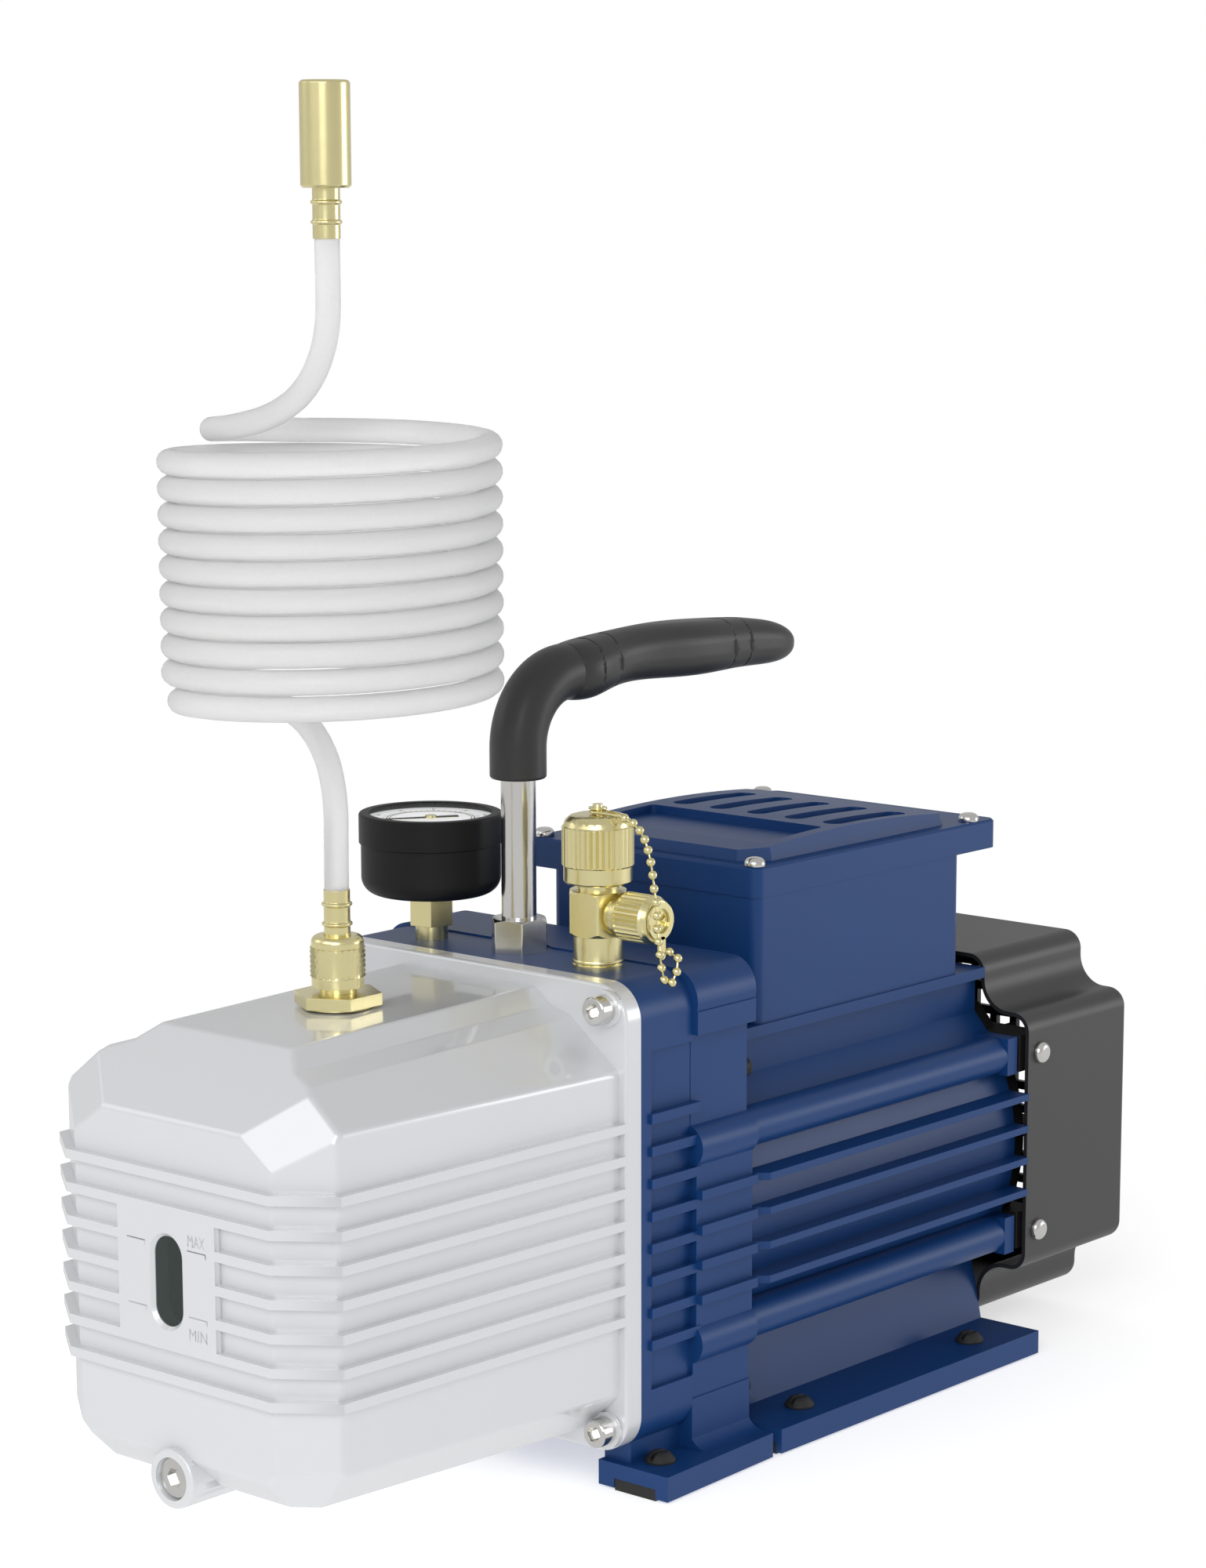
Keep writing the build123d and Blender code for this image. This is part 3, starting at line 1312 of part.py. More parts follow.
def handle_grip():
    """Moulded grip: round stem, a bend and a long rounded arch, hollow for the rod"""
    stem_top = grip_bend_z - grip_bend_radius
    stem = rod_z(0, rod_y, grip_low_z, stem_top, grip_stem_diameter / 2)
    stem = fillet(stem.edges().group_by(Axis.Z)[0], 1.2)
    bend_start = Plane(origin=(0, rod_y, stem_top), z_dir=(0, 0, 1))
    half_turn = grip_bend_radius * sqrt(0.5)
    bend_middle = (0, rod_y + grip_bend_radius - half_turn, stem_top + half_turn)
    bend_path = ThreePointArc((0, rod_y, stem_top), bend_middle, (0, rod_y + grip_bend_radius,
            grip_bend_z))
    bend = sweep(bend_start * Circle(grip_stem_diameter / 2), path=bend_path)
    arch_y = rod_y + grip_bend_radius
    sections = [
        grip_section(arch_y, grip_bend_z, grip_stem_diameter, grip_stem_diameter, 0, 0.49),
        grip_section(arch_y + 16, grip_bend_z + 1.3, grip_width - 0.5, 20.0, 3, 0.46),
        grip_section(grip_end_y - 67, grip_centre_z + 0.9, grip_width, 19.6, 0),
        grip_section(grip_end_y - 33, grip_centre_z + 0.2, grip_width - 0.3, 18.0, -2),
        grip_section(grip_end_y - 13, grip_centre_z - 1.0, grip_width - 1.4, 15.6, -5),
        grip_section(grip_end_y - 4.5, grip_centre_z - 1.9, grip_width - 4, 11.6, -5),
        grip_section(grip_end_y, grip_centre_z - 2.3, grip_width - 9, 6.6, -5),
    ]
    arch = loft(sections)
    grip = stem + bend + arch
    bore = rod_path(grip_low_z - 1, grip_end_y - 15.5)
    start = Plane(origin=bore @ 0, z_dir=(0, 0, 1))
    return grip - sweep(start * Circle(rod_diameter / 2 + fit_gap), path=bore)


def handle_nut():
    """Lock nut of the handle rod, on the bracket top"""
    nut = hex_z(0, rod_y, block_top_z, block_top_z + handle_nut_height, handle_nut_across, 18)
    cone = turned([(0, block_top_z - 1), (10.2, block_top_z - 1),
            (10.2, block_top_z + handle_nut_height - 0.9), (8.8, block_top_z + handle_nut_height + 0.1),
                    (0, block_top_z + handle_nut_height + 0.1)], 0, rod_y)
    return (nut & cone) - rod_z(0, rod_y, block_top_z - 1, block_top_z + 20, rod_diameter / 2 + fit_gap)


# Gauge


def gauge_stem():
    """Threaded stem and hexagon of the gauge, with the pressure tube on top"""
    stem = rod_z(gauge_x, gauge_y, block_top_z - 8.5, block_top_z + gauge_hex_z, gauge_stem_diameter / 2)
    stem += hex_z(gauge_x, gauge_y, block_top_z + gauge_hex_z, block_top_z + gauge_case_z, gauge_hex, 12)
    stem -= rod_z(gauge_x, gauge_y, block_top_z - 9, block_top_z + gauge_case_z - 2, 1.5)
    return group([stem, gauge_tube()])


def gauge_case():
    """Cup of the gauge, rounded at its foot, with a neck inside the bezel"""
    low = block_top_z + gauge_case_z
    high = block_top_z + gauge_top_z - gauge_bezel_height
    cup = rod_z(gauge_x, gauge_y, low, high, gauge_case_radius)
    cup = fillet(cup.edges().group_by(Axis.Z)[0], 6)
    cup += rod_z(gauge_x, gauge_y, high - 1, dial_seat_z(), gauge_neck_radius)
    return cup - rod_z(gauge_x, gauge_y, low + 2, block_top_z + gauge_top_z, gauge_case_radius - 2)


def dial_seat_z():
    """Underside of the dial, on the neck of the case"""
    return block_top_z + gauge_top_z - dial_depth


def gauge_bezel():
    """Bezel ring that holds the window over the dial"""
    low = block_top_z + gauge_top_z - gauge_bezel_height
    high = block_top_z + gauge_top_z
    ring = rod_z(gauge_x, gauge_y, low, high, gauge_bezel_radius)
    ring = fillet(ring.edges().group_by(Axis.Z)[-1], 0.9)
    ring -= rod_z(gauge_x, gauge_y, low - 1, high - gauge_lip, gauge_neck_radius + fit_gap)
    return ring - rod_z(gauge_x, gauge_y, low, high + 1, dial_radius)


def gauge_dial():
    """Dial plate on the neck of the case, with the hole for the needle staff"""
    plate = Circle(gauge_neck_radius - 0.1) - Circle(1.2)
    return Pos(gauge_x, gauge_y, dial_seat_z()) * extrude(plate, dial_thickness)


def gauge_window():
    """Clear window pressed under the lip of the bezel"""
    low = block_top_z + gauge_top_z - gauge_lip - gauge_glass
    return Pos(gauge_x, gauge_y, low) * extrude(Circle(gauge_neck_radius), gauge_glass)


def gauge_needle():
    """Needle with its tail, hub and staff"""
    low = dial_seat_z() + dial_thickness + 0.15
    points = [(-18.6, -0.25), (-18.6, 0.25), (-1.5, 0.7), (9.8, 1.1), (9.8, -1.1), (-1.5, -0.7)]
    blade = make_face(Polyline(*points, close=True))
    needle = extrude(blade, 0.4) + extrude(Circle(2.0), 0.9)
    needle += Pos(0, 0, -6.5) * extrude(Circle(0.9), 6.6)
    return Pos(gauge_x, gauge_y, low) * Rot(0, 0, needle_turn) * needle


needle_turn = 57.0


def gauge_tube():
    """Curved pressure tube on the stem, with its closed end free"""
    z = block_top_z + gauge_case_z + 8
    path = CenterArc((0, 0, 0), 14, -80, 260)
    start = Plane(origin=path @ 0, z_dir=path % 0)
    tube = sweep(start * Rectangle(3, 6), path=path)
    foot = Pos(0, -14, -3) * Box(6, 7, 6)
    post = Pos(0, -7.5, -6.3) * Box(6, 15, 2.6) + Pos(0, 0, -6.3) * Cylinder(4, 2.6)
    post += Pos(0, -14, -5) * Box(6, 7, 4)
    return Pos(gauge_x, gauge_y, z + 1.6) * (tube + foot + post)


# Inlet tee with caps and chain


def inlet_tee():
    """Brass tee: thread down, hexagon body, flare up and flare to the side"""
    base = block_top_z
    branch_z = base + tee_branch_z
    points = [(0, base - 10.5), (tee_thread_radius, base - 10.5), (tee_thread_radius, base), (8.6,
            base), (8.6, base + 1.2), (8.1, base + 1.6), (8.6, base + 2.0), (8.6, base + 2.6),
              (8.35, base + 3), (8.35, base + tee_hex_low), (6.8, base + tee_hex_low + 1), (6.8,
                      base + tee_hex_high), (7.0, base + tee_hex_high), (7.0, base + 42),
              (5.6, base + 45), (0, base + 45)]
    body = turned(points, tee_x, tee_y)
    hexagon = hex_z(tee_x, tee_y, base + tee_hex_low, base + tee_hex_high, tee_hex, tee_turn)
    trim = turned([(0, base + tee_hex_low - 1), (9.6, base + tee_hex_low), (10.7,
            base + tee_hex_low + 1.2), (10.7, base + tee_hex_high - 1.2), (9.6, base + tee_hex_high),
                    (0, base + tee_hex_high + 1)], tee_x, tee_y)
    hexagon -= rod_along_x(tee_y, branch_z, side_cap_start_x - 0.4, side_cap_start_x + 3,
            side_knurl_diameter / 2 + 0.4)
    body += hexagon & trim
    branch = rod_along_x(tee_y, branch_z, tee_x, side_cap_start_x - 0.9, 6.2)
    branch += rod_along_x(tee_y, branch_z, tee_x, side_cap_end_x - 5.5, 5.0)
    body += branch
    body -= rod_z(tee_x, tee_y, base - 11, base + 46, 3.2)
    return body - rod_along_x(tee_y, branch_z, tee_x, side_cap_end_x, 2.2)


def cap_shell(points_outer, bore_radius, bore_depth):
    """Closed cap turned about its own axis, its mouth at height zero"""
    profile = make_face(Polyline(*[(r, 0, z) for r, z in points_outer], close=True))
    cap = revolve(profile, Axis.Z)
    return cap - Pos(0, 0, bore_depth / 2 - 0.5) * Cylinder(bore_radius, bore_depth + 1)


def knurl(cap, radius, z0, z1, count, depth):
    """Straight grooves round the knurled band of a cap"""
    cutter = Pos(radius, 0, (z0 + z1) / 2) * Rot(0, 0, 45) * Box(depth, depth, z1 - z0)
    for index in range(count):
        cap -= Rot(0, 0, index * 360 / count) * cutter
    return cap


def inlet_cap():
    """Knurled cap of the upright flare"""
    height = inlet_cap_high - inlet_cap_low
    plain, band = inlet_cap_diameter / 2, inlet_knurl_diameter / 2
    band_low, band_high = 34.6 - inlet_cap_low, 48.3 - inlet_cap_low
    points = [(0, 0), (plain - 0.8, 0), (plain, 0.8), (plain, band_low), (band, band_low + 0.5), (band,
            band_high - 0.4), (plain, band_high),
              (plain - 0.5, height - 2.0), (plain - 2.2, height - 0.5), (plain - 4, height), (3.4,
                      height), (3.4, height + 0.0), (0, height)]
    cap = cap_shell(points[:-2] + [(0, height)], 7.0 + fit_gap, height - 3.4)
    cap = knurl(cap, band, band_low + 0.4, band_high - 0.4, 36, 0.9)
    nub = Cylinder(1.7, 3.4, align=(Align.CENTER, Align.CENTER, Align.MIN)) + Pos(0, 0,
            1.7) * Cylinder(3.1, 0.6, align=(Align.CENTER, Align.CENTER, Align.MIN))
    cap += Pos(0, 0, height) * nub
    return group([Pos(tee_x, tee_y, block_top_z + inlet_cap_low) * cap, inlet_cap_seal()])


def inlet_cap_seal():
    """Seal disc inside the inlet cap, on the mouth of the flare"""
    top = block_top_z + inlet_cap_high - 3.4
    return rod_z(tee_x, tee_y, block_top_z + 45, top, 6.6)


def chain_ring():
    """Flat eyelet of the chain, loose round the nub of the inlet cap"""
    z = block_top_z + inlet_cap_high + 0.35
    plate = SlotCenterToCenter(8.6, 6.0) - Pos(-4.3, 0) * Circle(1.7 + run_gap / 3)
    plate = Pos(4.3, 0) * plate
    return Pos(tee_x, tee_y, z) * Rot(0, 0, -6) * extrude(plate, 0.8)


def side_cap():
    """Knurled cap of the side flare, with a star recess in its end"""
    length = side_cap_end_x - side_cap_start_x
    plain, band = side_cap_diameter / 2, side_knurl_diameter / 2
    points = [(0, 0), (plain - 0.6, 0), (plain, 0.6), (plain, 2.4), (band, 3.0), (band, length - 2.6),
            (plain, length - 2.0), (plain - 0.6, length - 0.4), (plain - 1.4, length), (0, length)]
    cap = cap_shell(points, 5.0 + fit_gap, length - 3.6)
    cap = knurl(cap, band, 3.1, length - 2.7, 28, 0.9)
    star = Circle(1.6)
    for index in range(3):
        star += Rot(0, 0, index * 60) * Rectangle(6.4, 1.5)
    cap -= Pos(0, 0, length - 1.2) * extrude(star, 2)
    return group([Pos(side_cap_start_x, tee_y, block_top_z + tee_branch_z) * Rot(0, 90, 0) * cap,
            side_cap_seal()])


def side_cap_seal():
    """Seal disc inside the side cap"""
    return rod_along_x(tee_y, block_top_z + tee_branch_z, side_cap_end_x - 5.5, side_cap_end_x - 3.6, 4.6)


def chain_tag():
    """Tag that hangs from the end of the side cap and takes the chain"""
    x = side_cap_end_x + 0.1
    z = block_top_z + tee_branch_z
    ring = Circle(6.4) - Circle(4.3)
    tab = Pos(9.2, 0.6) * RectangleRounded(7.2, 4.6, 2)
    hole = Pos(11, 0.6) * Circle(0.9)
    plate = extrude(ring + tab - hole, 0.9)
    return Pos(x, tee_y, z) * Rot(0, 90, 0) * plate


chain_upper_route = [
    (51.7, -53.2, 228.0),
    (56.2, -54.6, 228.6),
    (61.4, -56.3, 226.0),
    (64.9, -56.9, 221.0),
    (66.8, -57, 214.7),
    (67.9, -57, 207.05),
]

chain_lower_route = [
    (67.9, -57, 206.95),
    (69.2, -57.1, 199.6),
    (70.1, -57, 191.5),
    (70.9, -57.1, 184.4),
    (72.0, -57, 178.0),
    (73.8, -56.2, 173.2),
    (76.8, -54.4, 174.4),
    (77.0, -52.8, 180.0),
    (73.6, -51.8, 183.6),
    (69.2, -51.4, 184.2),
]


def chain_tube(points):
    """Outer size of the bead chain along its route"""
    points = [Vector(*point) for point in points]
    radii = []
    for before, here, after in zip(points, points[1:], points[2:]):
        turn = radians((here - before).get_angle(after - here))
        run = min((here - before).length, (after - here).length)
        radii.append(round(0.45 * run / tan(turn / 2), 2))
    print("chain arc radii", radii)
    path = FilletPolyline(*points, radius=radii)
    tube = sweep(Plane(origin=path @ 0, z_dir=path % 0) * Circle(chain_diameter / 2), path=path)
    print("chain length", round(path.length, 1))
    return tube


def cap_chain_upper():
    """Chain from the upper cap to its low point, with its eyelet"""
    return group([chain_tube(chain_upper_route), chain_ring()])


def cap_chain_lower():
    """Rest of the chain, down and round to the tag of the side cap"""
    return group([chain_tube(chain_lower_route), chain_tag()])


# Pump module inside the oil


def module_bolt_points():
    """Places of the long bolts of the pump module"""
    points = []
    for index in range(6):
        angle = radians(22.5 + index * 60) if index % 2 == 0 else radians(-22.5 + index * 60 + 0.0)
        points.append((module_bolt_radius * cos(angle), axis_z + module_bolt_radius * sin(angle)))
    return points


stage_axis_z = axis_z + stage_offset
module_rear_y = mount_y
stage_rear_y = module_rear_y - stage_lengths[0]
middle_y = stage_rear_y - plate_thickness
stage_front_y = middle_y - stage_lengths[1]
module_front_y = stage_front_y - plate_thickness


def drill_module(shape, y0, y1):
    """Bolt holes through a plate or ring of the module"""
    for x, z in module_bolt_points():
        shape -= rod_along_y(x, z, y0 - 1, y1 + 1, 2.5 + fit_gap)
    return shape


def stage_ring(y0, y1):
    """Stator ring of one stage: round outside, with its bore off centre"""
    ring = Pos(0, axis_z) * Circle(module_radius) - Pos(0, stage_axis_z) * Circle(stage_bore)
    return drill_module(slab(ring, y0, y1), y0, y1)


def pump_stages():
    """Both stator rings, the plate between them, and the reed valve on the small stage"""
    large = stage_ring(stage_rear_y, module_rear_y)
    small = stage_ring(stage_front_y, middle_y)
    plate = module_plate(middle_y, stage_rear_y, pump_shaft_diameter / 2 + fit_gap)
    flat_z = axis_z + module_radius - 3.0
    small -= span_box(-30, 30, stage_front_y - 1, middle_y + 1, flat_z, flat_z + 20)
    y0, y1 = stage_front_y + 3, middle_y - 3
    reed = span_box(-10, 10, y0, y1, flat_z, flat_z + 0.6)
    stop = span_box(-10, 10, y0, y1, flat_z + 0.6, flat_z + 2.6)
    return group([large, small, plate, reed, stop])


def module_plate(y0, y1, bore):
    """Plate between or in front of the stages"""
    return drill_module(ring_slab(module_radius, bore, y0, y1), y0, y1)


def pump_end_cover():
    """Front plate of the module with the blind seat of the shaft end"""
    plate = module_plate(module_front_y, stage_front_y, pump_shaft_diameter / 2 + fit_gap)
    return plate + ring_slab(12, 0.01, module_front_y - 3, module_front_y)


def pump_rotor():
    """One shaft with the rotors of both stages, slotted for two vanes each"""
    start = module_front_y + 1
    end = mount_y + 24
    shaft = rod_along_y(0, axis_z, start, end, pump_shaft_diameter / 2)
    gap = 0.06
    for y0, y1 in ((middle_y + plate_thickness, module_rear_y), (stage_front_y, middle_y)):
        core = rod_along_y(0, axis_z, y0 + gap, y1 - gap, rotor_radius - 0.08)
        for side in (-1, 1):
            inner, outer = sorted((side * 9.9, side * (rotor_radius + 1)))
            core -= span_box(inner, outer, y0, y1, axis_z - vane_thickness / 2 - fit_gap,
                    axis_z + vane_thickness / 2 + fit_gap)
        shaft += core
    return shaft


def pump_vanes():
    """Four vanes, drawn into their slots"""
    vanes = []
    for y0, y1 in ((middle_y + plate_thickness, module_rear_y), (stage_front_y, middle_y)):
        for side in (-1, 1):
            inner, outer = sorted((side * 12.4, side * (rotor_radius - 0.4)))
            vanes.append(span_box(inner, outer, y0 + 0.08, y1 - 0.08, axis_z - vane_thickness / 2,
                    axis_z + vane_thickness / 2))
    return group(vanes)


def through_bolts():
    """Long bolts of the pump module and tie bolts of the motor"""
    bolts = tie_bolts()
    for x, z in module_bolt_points():
        length = mount_y + 9.5 - module_front_y
        bolts.append(socket_screw_y(x, z, module_front_y - 5, 8.5, 5, 5, length, 4))
    return group(bolts)


def shaft_seal():
    """Lip seal in the front wall of the bracket"""
    return ring_slab(seal_seat_radius, pump_shaft_diameter / 2 + fit_gap, mount_y + 1, mount_y + 9)


def shaft_coupling():
    """Two hubs and a star shaped spider between the pump shaft and the motor shaft"""
    front_y = mount_y + 13
    hub_a = ring_slab(16, pump_shaft_diameter / 2 + fit_gap, front_y, front_y + 11)
    hub_b = ring_slab(16, shaft_diameter / 2 + fit_gap, front_y + 19, front_bearing_y - 3)
    star = Circle(8)
    for index in range(6):
        star += Rot(0, 0, index * 60) * Pos(9, 0) * Rectangle(12, 4)
    spider = slab(Pos(0, axis_z) * star, front_y + 11, front_y + 19)
    return group([hub_a, hub_b, spider])


def build():
    """Every sub-part, in the order of the machine"""
    write("oil_casing", oil_casing())
    write("casing_gasket", casing_gasket())
    write("casing_screws", casing_screws())
    write("sight_glass", sight_glass())
    write("sight_glass_gasket", sight_glass_gasket())
    write("drain_plug", drain_plug())
    write("drain_plug_seal", drain_plug_seal())
    write("exhaust_port_nut", exhaust_port_nut())
    write("knurled_nut", knurled_nut())
    write("union_washer", union_washer())
    write("hose_barb", hose_barb())
    write("hose_coil", hose_coil())
    write("hose_lower", hose_tube(hose_lower_route))
    write("hose_upper", hose_tube(hose_upper_route))
    write("hose_end_fitting", hose_end_fitting())
    write("pump_bracket", pump_bracket())
    write("bracket_screws", bracket_screws())
    write("foot_pads", foot_pads())
    write("foot_plugs", foot_plugs())
    write("motor_housing", motor_housing())
    write("stator", stator())
    write("motor_rotor", motor_rotor())
    write("motor_shaft", motor_shaft())
    write("front_end_shield", front_end_shield())
    write("rear_end_shield", rear_end_shield())
    write("bearing_outer_races", group([bearing_outers(front_bearing_y), bearing_outers(rear_bearing_y)]))
    write("bearing_inner_races", group([bearing_inners(front_bearing_y), bearing_inners(rear_bearing_y)]))
    write("cooling_fan", cooling_fan())
    write("fan_cover", fan_cover())
    write("fan_grille", fan_grille())
    write("fan_cover_screws", fan_cover_screws())
    write("terminal_box", terminal_box())
    write("lid_gasket", lid_gasket())
    write("terminal_box_lid", terminal_box_lid())
    write("lid_screws", lid_screws())
    write("power_inlet", power_inlet())
    write("switch_frame", switch_frame())
    write("switch_rocker", switch_rocker())
    write("box_electrics", box_electrics())
    write("handle_rod", handle_rod())
    write("handle_grip", handle_grip())
    write("handle_nut", handle_nut())
    write("gauge_stem", gauge_stem())
    write("gauge_case", gauge_case())
    write("gauge_bezel", gauge_bezel())
    write("gauge_dial", gauge_dial())
    write("gauge_window", gauge_window())
    write("gauge_needle", gauge_needle())
    write("inlet_tee", inlet_tee())
    write("inlet_cap", inlet_cap())
    write("side_cap", side_cap())
    write("cap_chain_upper", cap_chain_upper())
    write("cap_chain_lower", cap_chain_lower())
    write("pump_stages", pump_stages())
    write("pump_end_cover", pump_end_cover())
    write("pump_rotor", pump_rotor())
    write("pump_vanes", pump_vanes())
    write("through_bolts", through_bolts())
    write("shaft_seal", shaft_seal())
    write("shaft_coupling", shaft_coupling())


build()
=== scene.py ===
import json
from math import atan2, cos, degrees, hypot, pi, radians, sin, tau

import bpy
from mathutils import Matrix, Vector


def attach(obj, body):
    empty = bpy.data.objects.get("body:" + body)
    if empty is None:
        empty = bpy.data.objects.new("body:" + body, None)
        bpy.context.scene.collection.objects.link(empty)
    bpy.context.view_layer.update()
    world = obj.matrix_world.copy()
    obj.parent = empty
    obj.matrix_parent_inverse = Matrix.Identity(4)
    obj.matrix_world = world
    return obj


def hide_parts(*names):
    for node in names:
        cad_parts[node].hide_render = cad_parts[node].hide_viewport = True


bl_info = {
    "name": "Rotary Vane Vacuum Pump",
    "version": (1, 0, 0),
    "blender": (4, 5, 0),
    "location": "View3D > Sidebar > Vacuum Pump",
    "description": "Dresses the vacuum pump piece by piece with modelled detail and finishes",
    "category": "Add Mesh",
}

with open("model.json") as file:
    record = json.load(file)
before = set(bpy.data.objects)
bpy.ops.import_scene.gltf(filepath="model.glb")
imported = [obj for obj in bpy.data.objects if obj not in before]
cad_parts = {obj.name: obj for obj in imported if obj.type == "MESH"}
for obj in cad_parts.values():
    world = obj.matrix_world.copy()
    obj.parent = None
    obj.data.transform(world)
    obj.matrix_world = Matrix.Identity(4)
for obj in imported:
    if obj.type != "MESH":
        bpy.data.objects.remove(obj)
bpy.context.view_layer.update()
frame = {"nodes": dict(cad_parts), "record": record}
MM = 0.001
QUARTER = pi / 2

# Places in millimetres, before the shift that puts the middle of the machine at the origin
SHIFT = Vector((0, -1.75, 0))
FACE_Y = -214.0
EXHAUST = (0, -135.8, 0)
GAUGE = (-38.5, -51.0)

# Level direction across the picture, as its parts along x and y
ACROSS = (0.7626, 0.6469)

# Widths of rounded edges, in metres
HAIR_EDGE = 0.0001
THIN_EDGE = 0.0002
SMALL_EDGE = 0.0003
FITTING_EDGE = 0.0004
ROCKER_EDGE = 0.0005
SHIELD_EDGE = 0.0006


# Sizes and colours that can be changed


class PumpSizes(bpy.types.PropertyGroup):
    """Sizes of the pieces that are modelled here"""

    edge: bpy.props.FloatProperty(
        name="Casting edge", description="Rounding of the edges on castings", unit="LENGTH",
        default=0.0005,
    )
    hose: bpy.props.FloatProperty(
        name="Hose", description="Outer diameter of the hose", unit="LENGTH",
        default=0.008,
    )
    coil: bpy.props.FloatProperty(
        name="Coil", description="Radius of the hose coil at the middle of the hose", unit="LENGTH",
        default=0.051,
    )
    bead: bpy.props.FloatProperty(
        name="Chain bead", description="Diameter of the beads of the cap chain", unit="LENGTH",
        default=0.0030,
    )
    knurl: bpy.props.FloatProperty(
        name="Knurl depth", description="Depth of the crossed grooves on the union nut", unit="LENGTH",
        default=0.0006,
    )


class PumpColours(bpy.types.PropertyGroup):
    """Colours of the finishes"""

    casting: bpy.props.FloatVectorProperty(
        name="Casting", description="Silver of the oil casing", subtype="COLOR",
        default=(0.70, 0.71, 0.73),
    )
    paint: bpy.props.FloatVectorProperty(
        name="Paint", description="Blue of bracket, motor and box", subtype="COLOR",
        default=(0.006, 0.044, 0.170),
    )
    cover: bpy.props.FloatVectorProperty(
        name="Fan cover", description="Dark grey of the fan cover", subtype="COLOR",
        default=(0.055, 0.055, 0.056),
    )
    grip: bpy.props.FloatVectorProperty(
        name="Grip", description="Near black of the handle grip", subtype="COLOR",
        default=(0.0312, 0.0312, 0.0312),
    )
    brass: bpy.props.FloatVectorProperty(
        name="Brass", description="Pale brass of the fittings", subtype="COLOR",
        default=(0.80, 0.72, 0.39),
    )
    steel: bpy.props.FloatVectorProperty(
        name="Steel", description="Bare steel of rod, nut and screws", subtype="COLOR",
        default=(0.66, 0.65, 0.63),
    )
    hose: bpy.props.FloatVectorProperty(
        name="Hose", description="Milky clear plastic of the hose", subtype="COLOR",
        default=(0.90, 0.90, 0.90),
    )


def sizes():
    return bpy.context.scene.pump_sizes


def colours():
    return bpy.context.scene.pump_colours


# Shader maths


class Value:
    """A value in a node tree, with the usual signs for sums and products"""

    def __init__(self, tree, socket):
        self.tree = tree
        self.socket = socket

    def join(self, operation, first, second):
        """The result of one sum on two values or numbers"""
        maths = self.tree.nodes.new("ShaderNodeMath")
        maths.operation = operation
        for slot, value in zip(maths.inputs, (first, second)):
            if isinstance(value, Value):
                self.tree.links.new(value.socket, slot)
            else:
                slot.default_value = value
        return Value(self.tree, maths.outputs[0])

    def __add__(self, other):
        return self.join("ADD", self, other)

    __radd__ = __add__

    def __mul__(self, other):
        return self.join("MULTIPLY", self, other)

    def at_least(self, other):
        """The larger of two"""
        return self.join("MAXIMUM", self, other)


class Finish:
    """A material that is put together from named nodes"""

    def __init__(self, name):
        self.material = bpy.data.materials.new(name)
        self.material.use_nodes = True
        self.tree = self.material.node_tree
        self.shader = self.tree.nodes["Principled BSDF"]
        self.where = self.node("ShaderNodeTexCoord").outputs["Object"]

    def node(self, kind, settings=None, **inputs):
        """One node: its settings, then its sockets by label, or as i0, i1 and so on by place"""
        made = self.tree.nodes.new(kind)
        for key, value in (settings or {}).items():
            setattr(made, key, value)
        for key, value in inputs.items():
            label = key.replace("_", " ")
            self.feed(made.inputs[label] if label in made.inputs else made.inputs[int(key[1:])], value)
        return made

    def feed(self, slot, value):
        """Link a socket to a value or give it a plain one"""
        if isinstance(value, Value):
            self.tree.links.new(value.socket, slot)
        elif isinstance(value, bpy.types.NodeSocket):
            self.tree.links.new(value, slot)
        else:
            slot.default_value = value

    def value(self, socket):
        return Value(self.tree, socket)

    def noise(self, scale, detail, rough=0.5):
        """Cloudy pattern fixed to the piece, with its scale in waves to the metre"""
        cloud = self.node("ShaderNodeTexNoise", Vector=self.where, Scale=scale, Detail=detail, Roughness=rough)
        return self.value(cloud.outputs[0])

    def tint(self, low, high, amount):
        """Colour between two colours"""
        mixed = self.node("ShaderNodeMix", {"data_type": "RGBA"}, Factor=amount)
        mixed.inputs[6].default_value = (*low, 1)
        mixed.inputs[7].default_value = (*high, 1)
        return mixed.outputs[2]

    def bump(self, height, strength, distance):
        """Fine relief, its distance in metres"""
        made = self.node("ShaderNodeBump", Height=height, Strength=strength, Distance=distance)
        self.feed(self.shader.inputs["Normal"], made.outputs[0])

    def surface(self, **values):
        """Feed the shader's own sockets and give the finished material"""
        for key, value in values.items():
            self.feed(self.shader.inputs[key.replace("_", " ")], value)
        return self.material


def shade(colour, factor):
    """Lighter or darker colour"""
    return tuple(min(1.0, part * factor) for part in colour)


finishes = {}


def finish(name):
    """A finish by its name, made the first time it is asked for"""
    if name not in finishes:
        finishes[name] = RECIPES[name]()
    return finishes[name]


def silver(name, factor):
    """Glossy clear coat over a fine pale silver"""
    made = Finish(name)
    base = shade(tuple(colours().casting), factor)
    grain = made.noise(900, 2)
    cloud = made.noise(14, 3)
    tone = made.tint(shade(base, 0.97), shade(base, 1.03), (cloud * 0.7 + grain * 0.3))
    made.bump(grain, 0.05, 0.00002)
    rough = 0.32 + cloud * 0.08
    return made.surface(Base_Color=tone, Metallic=0.2, Roughness=rough, Coat_Weight=0.8, Coat_Roughness=0.05)


def cast_silver():
    return silver("cast_silver", 1.0)


def cast_mark_painted_shade():
    # The marks are the casing's own silver darkened to 0.85: painted shade that stands in for the shadow of
    # their shallow relief.
    return silver("cast_mark_painted_shade", 0.85)


